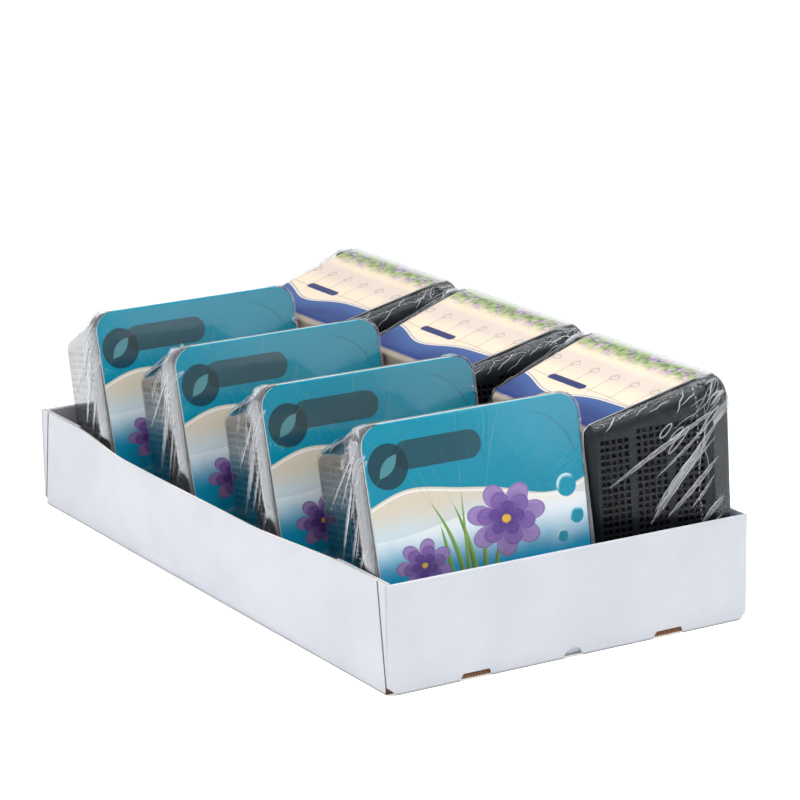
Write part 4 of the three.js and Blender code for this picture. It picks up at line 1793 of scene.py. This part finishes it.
@dataclass
class Studio:
    """Camera, soft lights, a white surround and a plain pale floor."""

    spot: tuple = (-1.2536, -2.1562, 0.7976)
    yaw: float = 30.78
    pitch: float = 14.984
    roll: float = -0.812
    lens: float = 147.4
    sensor: float = 36
    aim: tuple = (0, 0, 0.08)
    away: tuple = (0.5, 0.86, 0.0)
    floor_half: float = 12.0
    dim: float = 0.25
    bright: float = 0.8
    lamps: tuple = (
        ("soft_box_left", (-2.9, -0.55, 1.4), 2.0, 15),
        ("soft_box_right", (0.95, -1.2, 0.6), 0.7, 2.1),
        ("soft_box_top", (-0.05, -0.15, 2.4), 2.2, 72),
        ("soft_box_small", (-0.15, -0.85, 2.1), 0.5, 8),
    )

    def camera(self) -> None:
        """The camera, from the photograph's solved viewpoint."""
        yaw, pitch, roll = radians(self.yaw), radians(self.pitch), radians(self.roll)
        ahead = Vector((sin(yaw) * cos(pitch), cos(yaw) * cos(pitch), -sin(pitch)))
        right = Vector((cos(yaw), -sin(yaw), 0))
        up = right.cross(ahead)
        across = right * cos(roll) + up * sin(roll)
        above = up * cos(roll) - right * sin(roll)
        data = bpy.data.cameras.new("camera")
        data.sensor_width = self.sensor
        data.lens = self.lens
        data.clip_end = 60
        camera = bpy.data.objects.new("camera", data)
        turn = Matrix((across, above, -ahead)).transposed().to_4x4()
        camera.matrix_world = Matrix.Translation(Vector(self.spot)) @ turn
        bpy.context.scene.collection.objects.link(camera)
        bpy.context.scene.camera = camera

    def lamp(self, name: str, spot: Iterable[float], size: float, power: float) -> None:
        """A square soft box that looks at the tray.

        Args:
            name: the light's name.
            spot: where it stands.
            size: its side.
            power: its power in watts.
        """
        data = bpy.data.lights.new(name, "AREA")
        data.size = size
        data.energy = power
        lamp = bpy.data.objects.new(name, data)
        lamp.location = Vector(spot)
        ahead = Vector(self.aim) - lamp.location
        lamp.rotation_euler = ahead.to_track_quat("-Z", "Y").to_euler()
        bpy.context.scene.collection.objects.link(lamp)

    def surround(self) -> None:
        """A white world, dimmer on the camera's side, as in a studio."""
        world = bpy.data.worlds.new("surround")
        world.use_nodes = True
        tree = world.node_tree
        back = tree.nodes["Background"]
        back.inputs["Color"].default_value = (1.0, 1.0, 1.0, 1)
        way = tree.nodes.new("ShaderNodeTexCoord")
        share = tree.nodes.new("ShaderNodeVectorMath")
        share.operation = "DOT_PRODUCT"
        share.inputs[1].default_value = self.away
        tree.links.new(way.outputs["Generated"], share.inputs[0])
        height = tree.nodes.new("ShaderNodeSeparateXYZ")
        tree.links.new(way.outputs["Generated"], height.inputs[0])
        both = tree.nodes.new("ShaderNodeMath")
        both.operation = "MULTIPLY"
        ranges = (
            (share.outputs["Value"], (-0.9, 0.3, self.dim, self.bright)),
            (height.outputs["Z"], (0.12, 0.42, 1.0, 0.3)),
        )
        for index, (source, limits) in enumerate(ranges):
            part = tree.nodes.new("ShaderNodeMapRange")
            for name, value in zip(("From Min", "From Max", "To Min", "To Max"), limits):
                part.inputs[name].default_value = value
            tree.links.new(source, part.inputs["Value"])
            tree.links.new(part.outputs["Result"], both.inputs[index])
        tree.links.new(both.outputs[0], back.inputs["Strength"])
        bpy.context.scene.world = world

    def floor(self) -> None:
        """A wide pale floor."""
        book = NodeBook("studio_floor")
        at = book.place()
        cloud = book.noise(at, 2, 2)
        colour = book.mix(cloud * 0.2, (0.93, 0.93, 0.93, 1), (0.9, 0.9, 0.9, 1))
        x, y, _ = book.axes(at)
        away = (x * x + y * y) ** 0.5
        shader = book.principled({
            "Base Color": colour,
            "Roughness": 0.8,
            "Specular IOR Level": 0.1,
            "Emission Color": (1, 1, 1, 1),
            "Emission Strength": away.step(0.6, 3.0, 0.5, 0.85),
        })
        half = self.floor_half
        mesh = bpy.data.meshes.new("studio_floor")
        mesh.from_pydata(
            [(-half, -half, 0), (half, -half, 0), (half, half, 0), (-half, half, 0)],
            [],
            [(0, 1, 2, 3)],
        )
        mesh.materials.append(book.finish(shader))
        floor = bpy.data.objects.new("studio_floor", mesh)
        bpy.context.scene.collection.objects.link(floor)

    def build(self) -> None:
        """Sets the whole studio up."""
        self.camera()
        self.surround()
        self.floor()
        for name, spot, size, power in self.lamps:
            self.lamp(name, spot, size, power)
        bpy.context.scene.view_settings.view_transform = "Standard"


def main() -> None:
    """Builds the studio, the tray and the seven kits in order."""
    logging.basicConfig(level=logging.INFO, format="%(name)s: %(message)s")
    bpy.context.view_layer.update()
    Studio().build()
    board = CoatedBoard().make()
    edges = CutEdge()
    dress = [board, edges.make("cut_edge_pale", 0.95), edges.make("cut_edge_brown", 0.0)]
    for piece in Tray().build(dress):
        LOG.info("tray piece %s: %d faces", piece.name, len(piece.data.polygons))
    plastic = [BasketPlastic().make(), ShadeLiner().make()]
    cards = [PondPrint().make(), CardBack().make()]
    film, gathered = ShrinkFilm().make(), GatheredFilm().make()
    for seed, (name, row, along, across, lean, turn) in enumerate(KITS):
        place = KitPlace(name, along, across, lean, row.value + turn)
        for piece in (
            Basket(SIZES).build(place, plastic),
            CoverCard(SIZES).build(place, cards),
            FilmSkin(SIZES).build(place, film, seed + SKIN_SEED),
            FilmPleats(SIZES).build(place, gathered, seed + PLEAT_SEED),
        ):
            LOG.info("kit piece %s: %d faces", piece.name, len(piece.data.polygons))
    bpy.context.view_layer.update()


if __name__ == "__main__":
    main()
